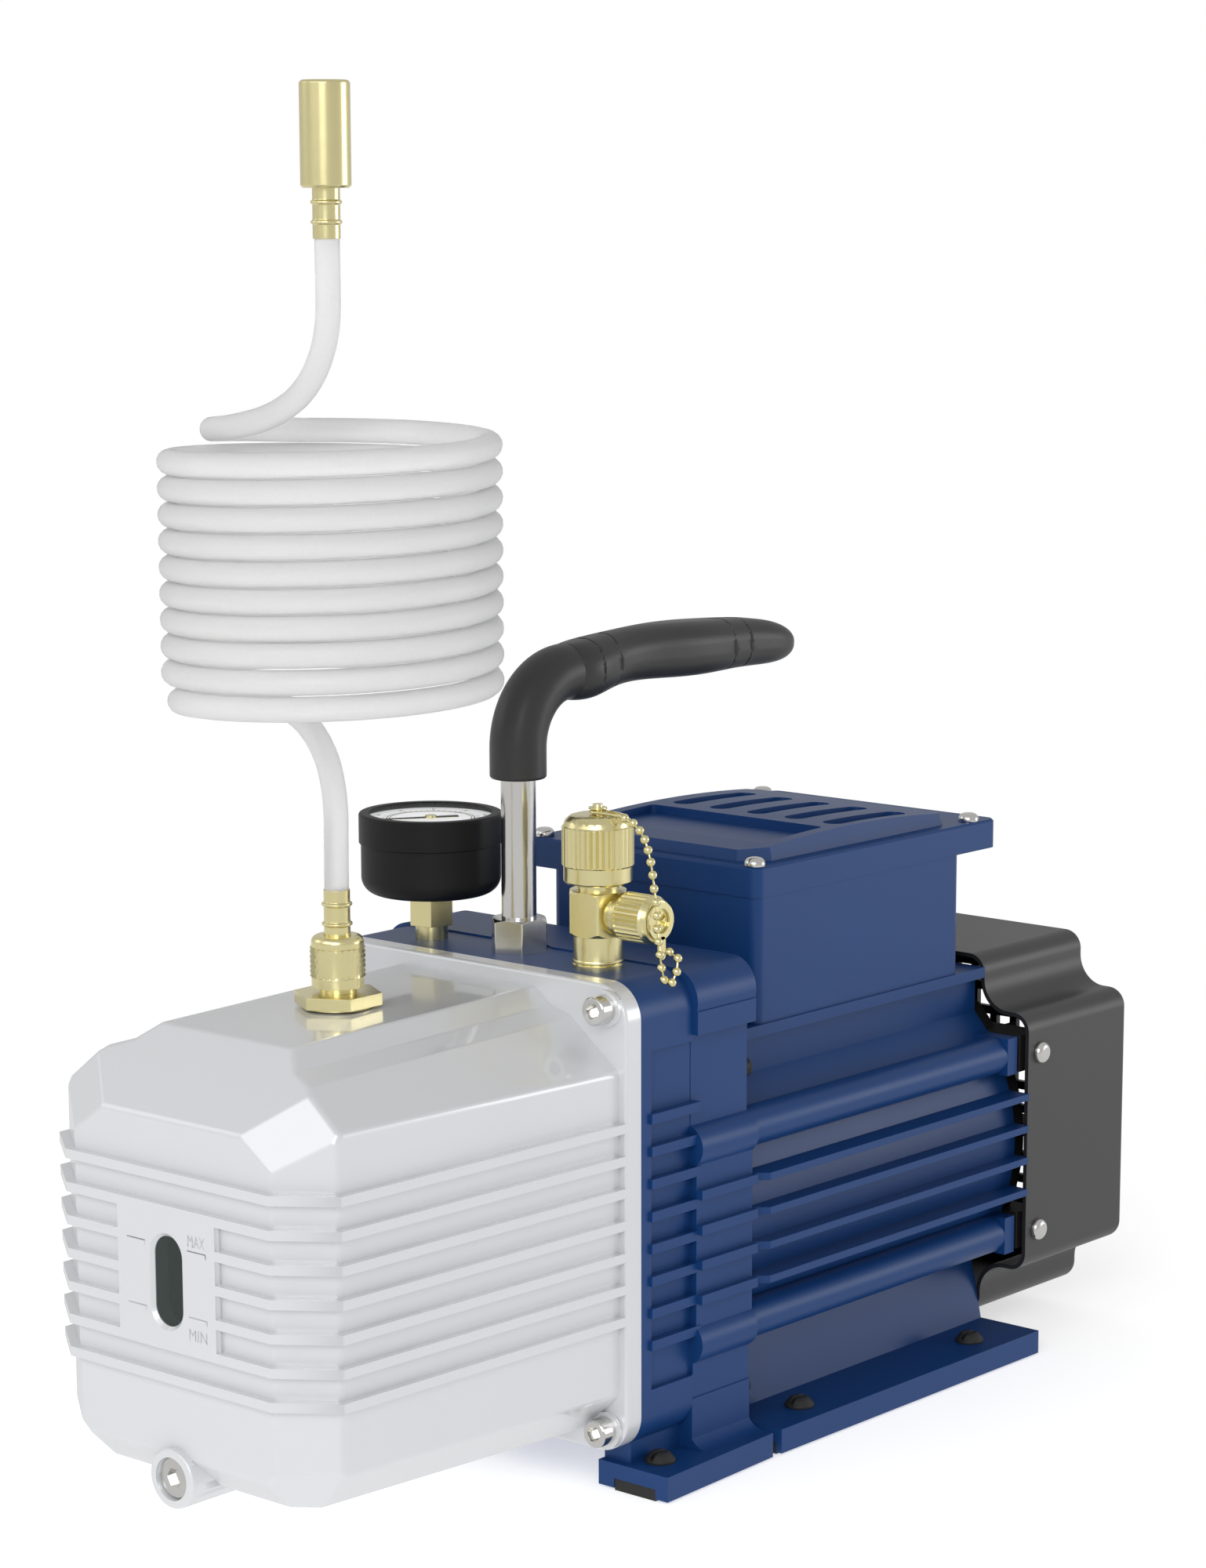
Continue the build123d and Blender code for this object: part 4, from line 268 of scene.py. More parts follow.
def blue_paint():
    made = Finish("blue_paint")
    base = tuple(colours().paint)
    grain = made.noise(1100, 2)
    cloud = made.noise(22, 4)
    tone = made.tint(shade(base, 0.92), shade(base, 1.10), (cloud * 0.8 + grain * 0.2))
    made.bump(grain, 0.2, 0.00004)
    rough = 0.36 + cloud * 0.08
    return made.surface(Base_Color=tone, Roughness=rough, Specular_IOR_Level=0.3)


def satin_cover():
    made = Finish("satin_cover")
    base = tuple(colours().cover)
    grain = made.noise(1500, 2)
    cloud = made.noise(18, 3)
    tone = made.tint(shade(base, 0.88), shade(base, 1.12), (cloud * 0.6 + grain * 0.4))
    made.bump(grain, 0.25, 0.00005)
    return made.surface(Base_Color=tone, Metallic=0.25, Roughness=0.38 + cloud * 0.1)


def soft_grip():
    made = Finish("soft_grip")
    base = tuple(colours().grip)
    grain = made.noise(2200, 3)
    cloud = made.noise(30, 3)
    tone = made.tint(shade(base, 0.85), shade(base, 1.2), cloud)
    made.bump(grain, 0.2, 0.00003)
    return made.surface(Base_Color=tone, Roughness=0.36 + cloud * 0.08, Specular_IOR_Level=0.4)


def gauge_black():
    made = Finish("gauge_black")
    grain = made.noise(1800, 2)
    tone = made.tint((0.007, 0.007, 0.008), (0.011, 0.011, 0.012), made.noise(25, 3))
    made.bump(grain, 0.15, 0.00003)
    return made.surface(Base_Color=tone, Roughness=0.42 + grain * 0.1, Specular_IOR_Level=0.22)


def rubber():
    made = Finish("rubber")
    grain = made.noise(1300, 3)
    tone = made.tint((0.008, 0.008, 0.008), (0.018, 0.018, 0.018), made.noise(40, 3))
    made.bump(grain, 0.3, 0.00006)
    return made.surface(Base_Color=tone, Roughness=0.55 + grain * 0.15)


def dark_cast():
    made = Finish("dark_cast")
    grain = made.noise(700, 3)
    tone = made.tint((0.010, 0.010, 0.011), (0.022, 0.022, 0.023), made.noise(20, 3))
    made.bump(grain, 0.35, 0.00008)
    return made.surface(Base_Color=tone, Metallic=0.2, Roughness=0.5 + grain * 0.12)


def pale_brass():
    made = Finish("pale_brass")
    base = tuple(colours().brass)
    cloud = made.noise(60, 3)
    fine = made.noise(500, 3)
    tone = made.tint(shade(base, 0.94), shade(base, 1.05), cloud)
    made.bump(fine, 0.03, 0.00002)
    return made.surface(Base_Color=tone, Metallic=1.0, Roughness=0.22 + fine * 0.06)


def bare_steel():
    made = Finish("bare_steel")
    base = tuple(colours().steel)
    cloud = made.noise(50, 3)
    fine = made.noise(400, 3)
    tone = made.tint(shade(base, 0.94), shade(base, 1.05), cloud)
    made.bump(fine, 0.02, 0.00002)
    return made.surface(Base_Color=tone, Metallic=1.0, Roughness=0.16 + fine * 0.06)


def machined_iron():
    made = Finish("machined_iron")
    fine = made.noise(300, 4, 0.6)
    tone = made.tint((0.26, 0.26, 0.25), (0.38, 0.38, 0.36), fine)
    made.bump(fine, 0.15, 0.00005)
    return made.surface(Base_Color=tone, Metallic=0.8, Roughness=0.34 + fine * 0.2)


def milky_hose():
    made = Finish("milky_hose")
    base = tuple(colours().hose)
    grain = made.noise(900, 2)
    tone = made.tint(shade(base, 0.97), shade(base, 1.03), grain)
    made.bump(grain, 0.1, 0.00004)
    return made.surface(Base_Color=tone, Roughness=0.42 + grain * 0.06, Transmission_Weight=0.5, IOR=1.25)


def clear(name, colour, cover, shine):
    """Smooth pane that lets light through straight"""
    made = Finish(name)
    ripple = made.noise(40, 2)
    tone = made.tint(shade(colour, 0.95), shade(colour, 1.05), ripple)
    rough = 0.03 + ripple * 0.03
    return made.surface(Base_Color=tone, Roughness=rough, Alpha=cover, Specular_IOR_Level=shine)


def thin_glass():
    return clear("thin_glass", (0.9, 0.93, 0.93), 0.05, 0.0)


def dark_glass_painted_shade():
    # Dark pane over most of the window: painted shade for the dark inside seen through the sight glass.
    return clear("dark_glass_painted_shade", (0.035, 0.050, 0.045), 0.62, 0.5)


def dial_gold():
    made = Finish("dial_gold")
    speck = made.noise(600, 2)
    tone = made.tint((0.42, 0.27, 0.06), (0.50, 0.33, 0.08), speck)
    return made.surface(Base_Color=tone, Roughness=0.4 + speck * 0.1)


def dial_white_painted_glow():
    made = Finish("dial_white_painted_glow")
    speck = made.noise(600, 2)
    tone = made.tint((0.86, 0.87, 0.88), (0.90, 0.91, 0.92), speck)
    rough = 0.4 + speck * 0.1
    # The white emission is a painted glow that brightens the dial under its glass; the dial is no lamp.
    return made.surface(Base_Color=tone, Roughness=rough, Emission_Color=(1, 1, 1, 1), Emission_Strength=0.4)


def ink_black():
    made = Finish("ink_black")
    speck = made.noise(600, 2)
    tone = made.tint((0.010, 0.010, 0.012), (0.020, 0.020, 0.024), speck)
    return made.surface(Base_Color=tone, Roughness=0.45 + speck * 0.1)


def switch_red():
    made = Finish("switch_red")
    speck = made.noise(900, 2)
    tone = made.tint((0.42, 0.015, 0.010), (0.50, 0.020, 0.014), speck)
    made.bump(speck, 0.1, 0.00003)
    return made.surface(Base_Color=tone, Roughness=0.3 + speck * 0.1)


def slip_white():
    made = Finish("slip_white")
    speck = made.noise(700, 2)
    tone = made.tint((0.80, 0.80, 0.78), (0.88, 0.88, 0.86), speck)
    return made.surface(Base_Color=tone, Roughness=0.4 + speck * 0.1)


def shiny_tin():
    made = Finish("shiny_tin")
    speck = made.noise(300, 3)
    tone = made.tint((0.62, 0.63, 0.64), (0.74, 0.75, 0.76), speck)
    made.bump(speck, 0.05, 0.00004)
    return made.surface(Base_Color=tone, Metallic=0.9, Roughness=0.3 + speck * 0.12)


RECIPES = {
    recipe.__name__: recipe
    for recipe in (
        cast_silver, cast_mark_painted_shade, blue_paint, satin_cover, soft_grip, gauge_black, rubber, dark_cast,
        pale_brass, bare_steel, machined_iron, milky_hose, thin_glass, dark_glass_painted_shade, dial_white_painted_glow, dial_gold,
        ink_black, switch_red, slip_white, shiny_tin,
    )
}


# Modelling steps

# Corners nearer than this, in metres, are one
TOUCHING = 0.000004
CORNER_PARTS = 4
EDGE_PARTS = 2
# Edges sharper than the first of these angles, in degrees, are rounded, and shading breaks at the second
EDGE_ANGLE = 32
SMOOTH_ANGLE = 35
# Faces that differ by less than this become one
FLAT_ANGLE = 0.6


def only(piece):
    """Select one piece alone"""
    if bpy.context.object and bpy.context.object.mode != "OBJECT":
        bpy.ops.object.mode_set(mode="OBJECT")
    bpy.ops.object.select_all(action="DESELECT")
    piece.select_set(True)
    bpy.context.view_layer.objects.active = piece
    return piece


def edit(piece, mode="VERT"):
    """Open one piece with everything on it selected"""
    only(piece)
    bpy.ops.object.mode_set(mode="EDIT")
    bpy.ops.mesh.select_mode(type=mode)
    bpy.ops.mesh.select_all(action="SELECT")


def leave():
    """Close the piece that is open"""
    bpy.ops.object.mode_set(mode="OBJECT")


def pick(piece, test, mode="FACE"):
    """Select the faces or vertices that pass a test on their place and normal"""
    edit(piece, mode)
    bpy.ops.mesh.select_all(action="DESELECT")
    leave()
    parts = piece.data.polygons if mode == "FACE" else piece.data.vertices
    for part in parts:
        place = part.center if mode == "FACE" else part.co
        part.select = test(place, part.normal)
    bpy.ops.object.mode_set(mode="EDIT")


def settle(piece, name, at=None, turn=(0, 0, 0)):
    """Name a piece and, with a place in millimetres, move it there in the shared frame"""
    only(piece)
    piece.name = name
    piece.data.name = name
    if at is not None:
        piece.rotation_euler = turn
        piece.location = (Vector(at) + SHIFT) * MM
    bpy.ops.object.transform_apply(location=True, rotation=True, scale=True)
    return piece


def trace(points, closed=False):
    """A line of edges through points, pulled out one after another"""
    bpy.ops.object.select_all(action="DESELECT")
    bpy.ops.mesh.primitive_plane_add(size=MM, location=(0, 0, 0))
    piece = bpy.context.object
    bpy.ops.object.mode_set(mode="EDIT")
    bpy.ops.mesh.select_mode(type="VERT")
    bpy.ops.mesh.select_all(action="SELECT")
    bpy.ops.mesh.merge(type="CENTER")
    bpy.ops.transform.translate(value=points[0])
    for before, here in zip(points, points[1:]):
        step = Vector(here) - Vector(before)
        bpy.ops.mesh.extrude_region_move(TRANSFORM_OT_translate={"value": step})
    bpy.ops.mesh.select_all(action="SELECT")
    if closed:
        bpy.ops.mesh.edge_face_add()
    return piece


def turned(name, profile, at, turn, steps=64):
    """Solid of revolution from radius and height points in millimetres"""
    piece = trace([(r * MM, 0, z * MM) for r, z in profile])
    bpy.ops.mesh.spin(steps=steps, angle=tau, center=(0, 0, 0), axis=(0, 0, 1))
    bpy.ops.mesh.select_all(action="SELECT")
    bpy.ops.mesh.remove_doubles(threshold=TOUCHING)
    bpy.ops.mesh.normals_make_consistent(inside=False)
    leave()
    return settle(piece, name, at, turn)


def prism(name, outline, height, at, turn=(0, 0, 0), corner=0.0):
    """Upright prism from an outline in millimetres, with rounded upright edges if asked"""
    piece = trace([(x * MM, y * MM, 0) for x, y in outline], closed=True)
    if corner:
        bpy.ops.mesh.bevel(offset=corner * MM, segments=CORNER_PARTS, affect="VERTICES")
        bpy.ops.mesh.select_all(action="SELECT")
    bpy.ops.mesh.extrude_region_move(TRANSFORM_OT_translate={"value": (0, 0, height * MM)})
    bpy.ops.mesh.select_all(action="SELECT")
    bpy.ops.mesh.normals_make_consistent(inside=False)
    leave()
    return settle(piece, name, at, turn)


def wire(name, points, radius, closed=False):
    """Round wire through points in millimetres"""
    curve = bpy.data.curves.new(name, "CURVE")
    curve.dimensions = "3D"
    line = curve.splines.new("NURBS")
    line.points.add(len(points) - 1)
    for point, place in zip(line.points, points):
        point.co = (*((Vector(place) + SHIFT) * MM), 1)
    line.order_u = 3
    line.use_cyclic_u = closed
    line.use_endpoint_u = not closed
    line.resolution_u = 4
    curve.bevel_depth = radius * MM
    curve.bevel_resolution = 3
    curve.use_fill_caps = True
    piece = bpy.data.objects.new(name, curve)
    bpy.context.scene.collection.objects.link(piece)
    only(piece)
    bpy.ops.object.convert(target="MESH")
    return seal(bpy.context.object)


def seal(piece):
    """Join doubled corners and turn the faces outward"""
    edit(piece)
    bpy.ops.mesh.remove_doubles(threshold=0.75 * TOUCHING)
    bpy.ops.mesh.normals_make_consistent(inside=False)
    leave()
    return piece


def crossed(name, at, radius, wall, low, high, around, rows, depth):
    """Ring with a crossed knurl: every second corner of its grid is drawn in"""
    rise = (high - low) / rows
    profile = [(radius, low + rise * index) for index in range(rows + 1)]
    profile = [(radius - wall, low)] + profile + [(radius - wall, high), (radius - wall, low)]
    piece = trace([(r * MM, 0, z * MM) for r, z in profile])
    bpy.ops.mesh.spin(steps=2 * around, angle=tau, center=(0, 0, 0), axis=(0, 0, 1))
    bpy.ops.mesh.select_all(action="SELECT")
    bpy.ops.mesh.remove_doubles(threshold=TOUCHING)
    leave()

    def low_corner(place, normal):
        if hypot(place.x, place.y) < (radius - depth / 2) * MM:
            return False
        column = round(atan2(place.y, place.x) / tau * 2 * around)
        row = round((place.z / MM - low) / rise)
        return (column + row) % 2 == 0

    pick(piece, low_corner, "VERT")
    factor = (radius - depth) / radius
    bpy.ops.transform.resize(value=(factor, factor, 1), center_override=(0, 0, 0))
    bpy.ops.mesh.select_all(action="SELECT")
    bpy.ops.mesh.quads_convert_to_tris(quad_method="SHORTEST_DIAGONAL")
    leave()
    return settle(seal(piece), name, at)


def apply_all(piece):
    """Apply the modifiers that finish a piece"""
    only(piece)
    for modifier in list(piece.modifiers):
        bpy.ops.object.modifier_apply(modifier=modifier.name)
    return piece


def ease(piece, width):
    """Round the sharp edges of a piece"""
    bevel = piece.modifiers.new("edges", "BEVEL")
    bevel.width = width
    bevel.segments = EDGE_PARTS
    bevel.limit_method = "ANGLE"
    bevel.angle_limit = radians(EDGE_ANGLE)
    bevel.use_clamp_overlap = True
    return apply_all(piece)


def bored(piece, tool):
    """Cut a tool out of a piece and drop the tool"""
    boolean = piece.modifiers.new("cut", "BOOLEAN")
    boolean.operation = "DIFFERENCE"
    boolean.solver = "EXACT"
    boolean.object = tool
    apply_all(piece)
    bpy.data.objects.remove(tool, do_unlink=True)
    return piece


def twin(piece, name, at):
    """Copy with its own mesh, moved by some millimetres"""
    made = bpy.data.objects.new(name, piece.data.copy())
    bpy.context.scene.collection.objects.link(made)
    only(made)
    made.location = Vector(at) * MM
    bpy.ops.object.transform_apply(location=True, rotation=True, scale=True)
    return made


def merged(name, pieces):
    """Several pieces as one"""
    only(pieces[0])
    for piece in pieces:
        piece.select_set(True)
    if len(pieces) > 1:
        bpy.ops.object.join()
    return settle(pieces[0], name)


def lettering(name, word, left, low, wide, tall):
    """Raised word on the front face, in millimetres"""
    bpy.ops.object.select_all(action="DESELECT")
    bpy.ops.object.text_add()
    text = bpy.context.object
    text.data.body = word
    text.data.extrude = RELIEF * MM / 2
    text.data.resolution_u = 3
    bpy.ops.object.convert(target="MESH")
    piece = bpy.context.object
    corners = [Vector(corner) for corner in piece.bound_box]
    start = Vector(map(min, zip(*corners)))
    end = Vector(map(max, zip(*corners)))
    factor = (wide * MM / (end.x - start.x), tall * MM / (end.y - start.y), 1)
    piece.scale = factor
    bpy.ops.object.transform_apply(location=True, rotation=True, scale=True)
    piece.rotation_euler = (QUARTER, 0, 0)
    corner = Vector((start.x * factor[0], 0, start.y * factor[1]))
    piece.location = (Vector((left, FACE_Y + RELIEF / 2, low)) + SHIFT) * MM - corner
    bpy.ops.object.transform_apply(location=True, rotation=True, scale=True)
    piece.name = name
    return seal(piece)


def smooth(piece, angle=SMOOTH_ANGLE):
    """Soft shading with flat faces kept flat"""
    only(piece)
    bpy.ops.object.shade_smooth_by_angle(angle=radians(angle))
    even = piece.modifiers.new("even", "WEIGHTED_NORMAL")
    even.keep_sharp = True
    return apply_all(piece)


def paint(piece, name):
    """One finish on the whole piece"""
    piece.data.materials.clear()
    piece.data.materials.append(finish(name))
    return piece


def paint_faces(piece, name, test):
    """A second finish on the faces that pass a test"""
    piece.data.materials.append(finish(name))
    pick(piece, test)
    piece.active_material_index = len(piece.data.materials) - 1
    bpy.ops.object.material_slot_assign()
    leave()
    return piece


def stand(piece, node, look, angle=SMOOTH_ANGLE):
    """A finished piece takes the place of a part of the frame"""
    smooth(piece, angle)
    paint(piece, look)
    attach(piece, body_of_node(node))
    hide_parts(node)
    return piece


def body_of_node(node):
    """Name of the body that a part of the frame moves with"""
    for body, nodes in frame["record"]["behaviour"]["bodies"].items():
        if node in nodes:
            return body
    raise ValueError(node)


def copy_of(node, name, flat=FLAT_ANGLE):
    """Copy of a part of the frame, with its loose triangles joined into faces if asked"""
    piece = bpy.data.objects.new(name, frame["nodes"][node].data.copy())
    bpy.context.scene.collection.objects.link(piece)
    edit(piece)
    bpy.ops.mesh.remove_doubles(threshold=TOUCHING / 2)
    if flat:
        bpy.ops.mesh.dissolve_limited(angle_limit=radians(flat))
    leave()
    return piece


def dress(node, look, edge=0.0, angle=SMOOTH_ANGLE, flat=FLAT_ANGLE):
    """Copy of a part of the frame with eased edges and its finish"""
    piece = copy_of(node, f"{node}_dressed", flat)
    if edge:
        ease(piece, edge)
    return stand(piece, node, look, angle)


def box_side(piece, axis, side=min):
    """Lowest or highest place of a piece along an axis"""
    return side(corner[axis] for corner in piece.bound_box)


def node_finish(node, look):
    """Keep a part of the frame as it is and give it a finish"""
    held = frame["nodes"][node]
    held.data.materials.clear()
    held.data.materials.append(finish(look))


# Stage

WHITE = (1, 1, 1, 1)
FLOOR_SIDE = 12
# Distances from the middle, in metres, between which the lit floor turns into plain white
LIT_FLOOR = (0.25, 0.62)
# Strength of the white surroundings, of their light and of their mirror image in shiny pieces
PLAIN_WHITE = 1.0
SOFT_LIGHT = 0.4
SKY_MIRRORED = 0.6
FLOOR_MIRRORED = 0.75
# Name, place and aim in metres, size in metres and power in watts
LAMPS = (
    ("key", (1.25, -2.0, 1.25), (0, -0.02, 0.14), 1.1, 21),
    ("facet", (-0.14, -1.41, 1.02), (0.047, -0.206, 0.147), 0.9, 3.8),
    ("side", (1.7, 1.95, 0.45), (0, 0.02, 0.12), 1.0, 11),
    ("left", (-1.9, -1.2, 1.2), (0, -0.02, 0.15), 1.2, 4),
)
CAMERA_AT = (0.88444, -1.01923, 0.43514)
CAMERA_BACK = (0.6360, -0.7498, 0.1825)
FILM_WIDTH = 36.0
FOCAL_LENGTH = 89.377
LENS_SHIFT = (-0.03455, 0.076)


class PumpStage(bpy.types.Operator):
    """Floor, backdrop, soft lights and the camera at the photograph's view"""

    bl_idname = "pump.stage"
    bl_label = "Stage"

    def execute(self, context):
        self.lay_floor(context)
        self.light_world(context)
        self.hang_lamps(context)
        self.set_camera(context)
        return {"FINISHED"}

    def lay_floor(self, context):
        """Pale floor that keeps the shadow near the machine and is plain white beyond"""
        bpy.ops.object.select_all(action="DESELECT")
        bpy.ops.mesh.primitive_plane_add(size=FLOOR_SIDE, location=(0, 0, 0))
        floor = context.object
        floor.name = "floor"
        made = Finish("floor_white")
        made.surface(Base_Color=(0.9, 0.9, 0.9, 1), Roughness=0.9, Emission_Color=WHITE, Emission_Strength=0.55)
        path = made.node("ShaderNodeLightPath")
        plain = made.node("ShaderNodeEmission", Color=WHITE, Strength=PLAIN_WHITE)
        mirrored = made.node("ShaderNodeEmission", Color=WHITE, Strength=FLOOR_MIRRORED)
        reach = made.node("ShaderNodeVectorMath", {"operation": "LENGTH"}, i0=made.where)
        fade = made.node("ShaderNodeMapRange", {"interpolation_type": "SMOOTHSTEP"},
                         Value=reach.outputs["Value"], From_Min=LIT_FLOOR[0], From_Max=LIT_FLOOR[1])
        through = made.value(path.outputs["Is Transmission Ray"])
        seen = made.node("ShaderNodeMixShader", i0=through.at_least(made.value(fade.outputs[0])),
                         i1=made.shader.outputs[0], i2=plain.outputs[0])
        whole = made.node("ShaderNodeMixShader", i0=path.outputs["Is Glossy Ray"],
                          i1=seen.outputs[0], i2=mirrored.outputs[0])
        made.feed(made.tree.nodes["Material Output"].inputs[0], whole.outputs[0])
        floor.data.materials.append(made.material)

    def light_world(self, context):
        """White surroundings whose light on the machine is softer than they look"""
        world = bpy.data.worlds.new("studio")
        context.scene.world = world
        world.use_nodes = True
        tree = world.node_tree
        sky = tree.nodes["Background"]
        path = tree.nodes.new("ShaderNodeLightPath")
        seen = Value(tree, path.outputs["Is Camera Ray"])
        seen = seen.at_least(Value(tree, path.outputs["Is Transmission Ray"]))
        mirrored = Value(tree, path.outputs["Is Glossy Ray"]) * (SKY_MIRRORED - SOFT_LIGHT)
        strength = (seen * (PLAIN_WHITE - SOFT_LIGHT)).at_least(mirrored) + SOFT_LIGHT
        sky.inputs["Color"].default_value = WHITE
        tree.links.new(strength.socket, sky.inputs["Strength"])

    def hang_lamps(self, context):
        """Square lamps round the machine"""
        for name, at, aim, size, power in LAMPS:
            lamp = bpy.data.lights.new(name, "AREA")
            lamp.energy = power
            lamp.size = size
            held = bpy.data.objects.new(name, lamp)
            context.scene.collection.objects.link(held)
            held.location = at
            held.rotation_euler = (Vector(aim) - Vector(at)).to_track_quat("-Z", "Y").to_euler()

    def set_camera(self, context):
        """Camera of the photograph, level and with a shifted lens"""
        across = Vector((*ACROSS, 0.0))
        back = Vector(CAMERA_BACK).normalized()
        up = back.cross(across).normalized()
        lens = bpy.data.cameras.new("camera")
        lens.sensor_width = FILM_WIDTH
        lens.lens = FOCAL_LENGTH
        lens.shift_x, lens.shift_y = LENS_SHIFT
        lens.clip_start = 0.05
        held = bpy.data.objects.new("camera", lens)
        context.scene.collection.objects.link(held)
        turn = Matrix((across, up, back)).transposed().to_4x4()
        held.matrix_world = Matrix.Translation(CAMERA_AT) @ turn
        context.scene.camera = held
        context.scene.view_settings.view_transform = "Standard"


# Oil casing, with its marks in millimetres

RELIEF = 0.35
LINE_WIDTH = 0.45
HOOK = 1.3
# Name, word, left edge, foot, width and height
LEVEL_WORDS = (
    ("upper_word", "MAX", 10.2, 107.2, 7.7, 3.8),
    ("lower_word", "MIN", 10.1, 76.7, 8.2, 3.7),
)
# Left end, right end and height
LEVEL_LINES = ((9.9, 18.4, 105.5), (10.1, 18.6, 84.0), (-17.9, -9.4, 105.5), (-17.8, -9.3, 84.0))


class PumpCasing(bpy.types.Operator):
    """Oil casing with its gasket, screws, window, level marks and drain"""

    bl_idname = "pump.casing"
    bl_label = "Oil casing"

    def execute(self, context):
        # Finer angles than elsewhere keep the casing's fillets and facets
        dress("oil_casing", "cast_silver", angle=24, flat=0.05)
        self.level_marks()
        node_finish("casing_gasket", "rubber")
        dress("casing_screws", "bare_steel", SMALL_EDGE)
        # The sight glass pane carries painted shade for the dark inside behind it.
        dress("sight_glass", "dark_glass_painted_shade", THIN_EDGE)
        node_finish("sight_glass_gasket", "rubber")
        dress("drain_plug", "bare_steel", SMALL_EDGE)
        node_finish("drain_plug_seal", "rubber")
        return {"FINISHED"}

    def level_marks(self):
        """Cast words and hooked lines of the two oil levels"""
        marks = [lettering(*word) for word in LEVEL_WORDS]
        for left, right, level in LEVEL_LINES:
            inner = right - LINE_WIDTH
            outline = [
                (left, 0), (inner, 0), (inner, -HOOK), (right, -HOOK), (right, LINE_WIDTH), (left, LINE_WIDTH)
            ]
            marks.append(prism("level_line", outline, RELIEF, (0, FACE_Y + RELIEF, level), (QUARTER, 0, 0)))
        cast = smooth(merged("level_marks", marks), angle=15)
        # The marks take the darkened silver, painted shade for their shallow relief.
        paint(cast, "cast_mark_painted_shade")
        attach(cast, "machine")


# Exhaust and hose, in millimetres

# The union nut is drawn in beyond this radius, to leave room for its crossed band
NUT_RADIUS = 8.8
NUT_DRAW = 0.925
BAND = {"radius": 9.1, "wall": 1.8, "low": 180.25, "high": 189.95, "around": 26, "rows": 6}
# The coil's foot, its rise in one turn and its lean to one side, with its two ends as angles
COIL_FOOT = 272.45
COIL_RISE = 8.37
COIL_LEAN = 0.35
COIL_ENDS = (pi + 0.62, 20 * pi + radians(100))
COIL_PARTS = 16
# The hose runs this much inside its control points round the coil
CURVE_DRAW = 0.981


class PumpExhaust(bpy.types.Operator):
    """Exhaust port, union nut with its crossed band, washer and barb"""

    bl_idname = "pump.exhaust"
    bl_label = "Exhaust fitting"

    def execute(self, context):
        dress("exhaust_port_nut", "pale_brass", FITTING_EDGE)
        self.union_nut()
        node_finish("union_washer", "slip_white")
        dress("hose_barb", "pale_brass", THIN_EDGE)
        return {"FINISHED"}

    def union_nut(self):
        """Nut that is slimmer by the depth of the crossed band round it"""
        nut = copy_of("knurled_nut", "union_nut")
        centre = (Vector(EXHAUST) + SHIFT) * MM

        def on_rim(place, normal):
            return hypot(place.x - centre.x, place.y - centre.y) > NUT_RADIUS * MM

        pick(nut, on_rim, "VERT")
        bpy.ops.transform.resize(value=(NUT_DRAW, NUT_DRAW, 1), center_override=centre)
        leave()
        ease(nut, SMALL_EDGE)
        band = crossed("union_band", EXHAUST, depth=sizes().knurl / MM, **BAND)
        stand(merged("union_nut", [nut, band]), "knurled_nut", "pale_brass", angle=25)


class PumpHose(bpy.types.Operator):
    """Clear hose with its coil, from the barb to the end fitting"""

    bl_idname = "pump.hose"
    bl_label = "Hose"

    def execute(self, context):
        fitting = dress("hose_end_fitting", "pale_brass", THIN_EDGE)
        curve = bpy.data.curves.new("hose", "CURVE")
        curve.dimensions = "3D"
        route = self.route()
        line = curve.splines.new("NURBS")
        line.points.add(len(route) - 1)
        for point, place in zip(line.points, route):
            point.co = (*place, 1)
        line.order_u = 3
        line.use_endpoint_u = True
        line.resolution_u = 6
        curve.bevel_depth = sizes().hose / 2
        curve.bevel_resolution = 6
        curve.use_fill_caps = True
        hose = bpy.data.objects.new("hose", curve)
        context.scene.collection.objects.link(hose)
        hose.data.materials.append(finish("milky_hose"))
        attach(hose, "machine")
        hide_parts("hose_lower", "hose_coil", "hose_upper")
        return {"FINISHED"}

    def route(self):
        """Control points: up from the barb, round the coil and up to the fitting"""
        lower = [
            (0, 0, 202.8), (0, 0, 220.8), (0.3, 0, 239), (-3, 0, 255), (-12, 0.4, 267.5),
            (-27, 0, 272.6), (-41, -3.5, 272.4), (-49.5, -14, 272.6),
        ]
        upper = [
            (-20.6, 42.4, 354.6), (-31, 35, 355.4), (-38.6, 24, 356), (-39.5, 10, 356.8), (-31, 0, 358),
            (-17.5, -2.5, 361.5), (-6.5, -0.8, 370), (0, 0, 386), (0.25, 0, 405.6), (0, 0, 425),
        ]
        reach = sizes().coil / MM / CURVE_DRAW
        angle, end = COIL_ENDS
        coil = []
        while angle < end:
            height = COIL_FOOT + COIL_RISE * (angle - pi) / tau + COIL_LEAN * cos(angle)
            coil.append((reach * cos(angle), reach * sin(angle), height))
            angle += tau / COIL_PARTS
        return [self.place(*point) for point in lower + coil + upper]

    def place(self, right, away, height):
        """Place in metres from a point seen from the camera's side, round the exhaust"""
        x = right * ACROSS[0] - away * ACROSS[1]
        y = EXHAUST[1] + SHIFT.y + right * ACROSS[1] + away * ACROSS[0]
        return (x * MM, y * MM, height * MM)


# Bracket, feet and motor

# Depth in metres of the fan cover's dark front rim
DARK_RIM = 0.0004
# Normals beyond this look forward
FORWARD = -0.5


class PumpBracket(bpy.types.Operator):
    """Bracket, its screws, foot strips and foot plugs"""

    bl_idname = "pump.bracket"
    bl_label = "Bracket and feet"

    def execute(self, context):
        dress("pump_bracket", "blue_paint", sizes().edge)
        dress("bracket_screws", "gauge_black", THIN_EDGE)
        dress("foot_pads", "rubber", THIN_EDGE)
        dress("foot_plugs", "rubber", THIN_EDGE)
        return {"FINISHED"}


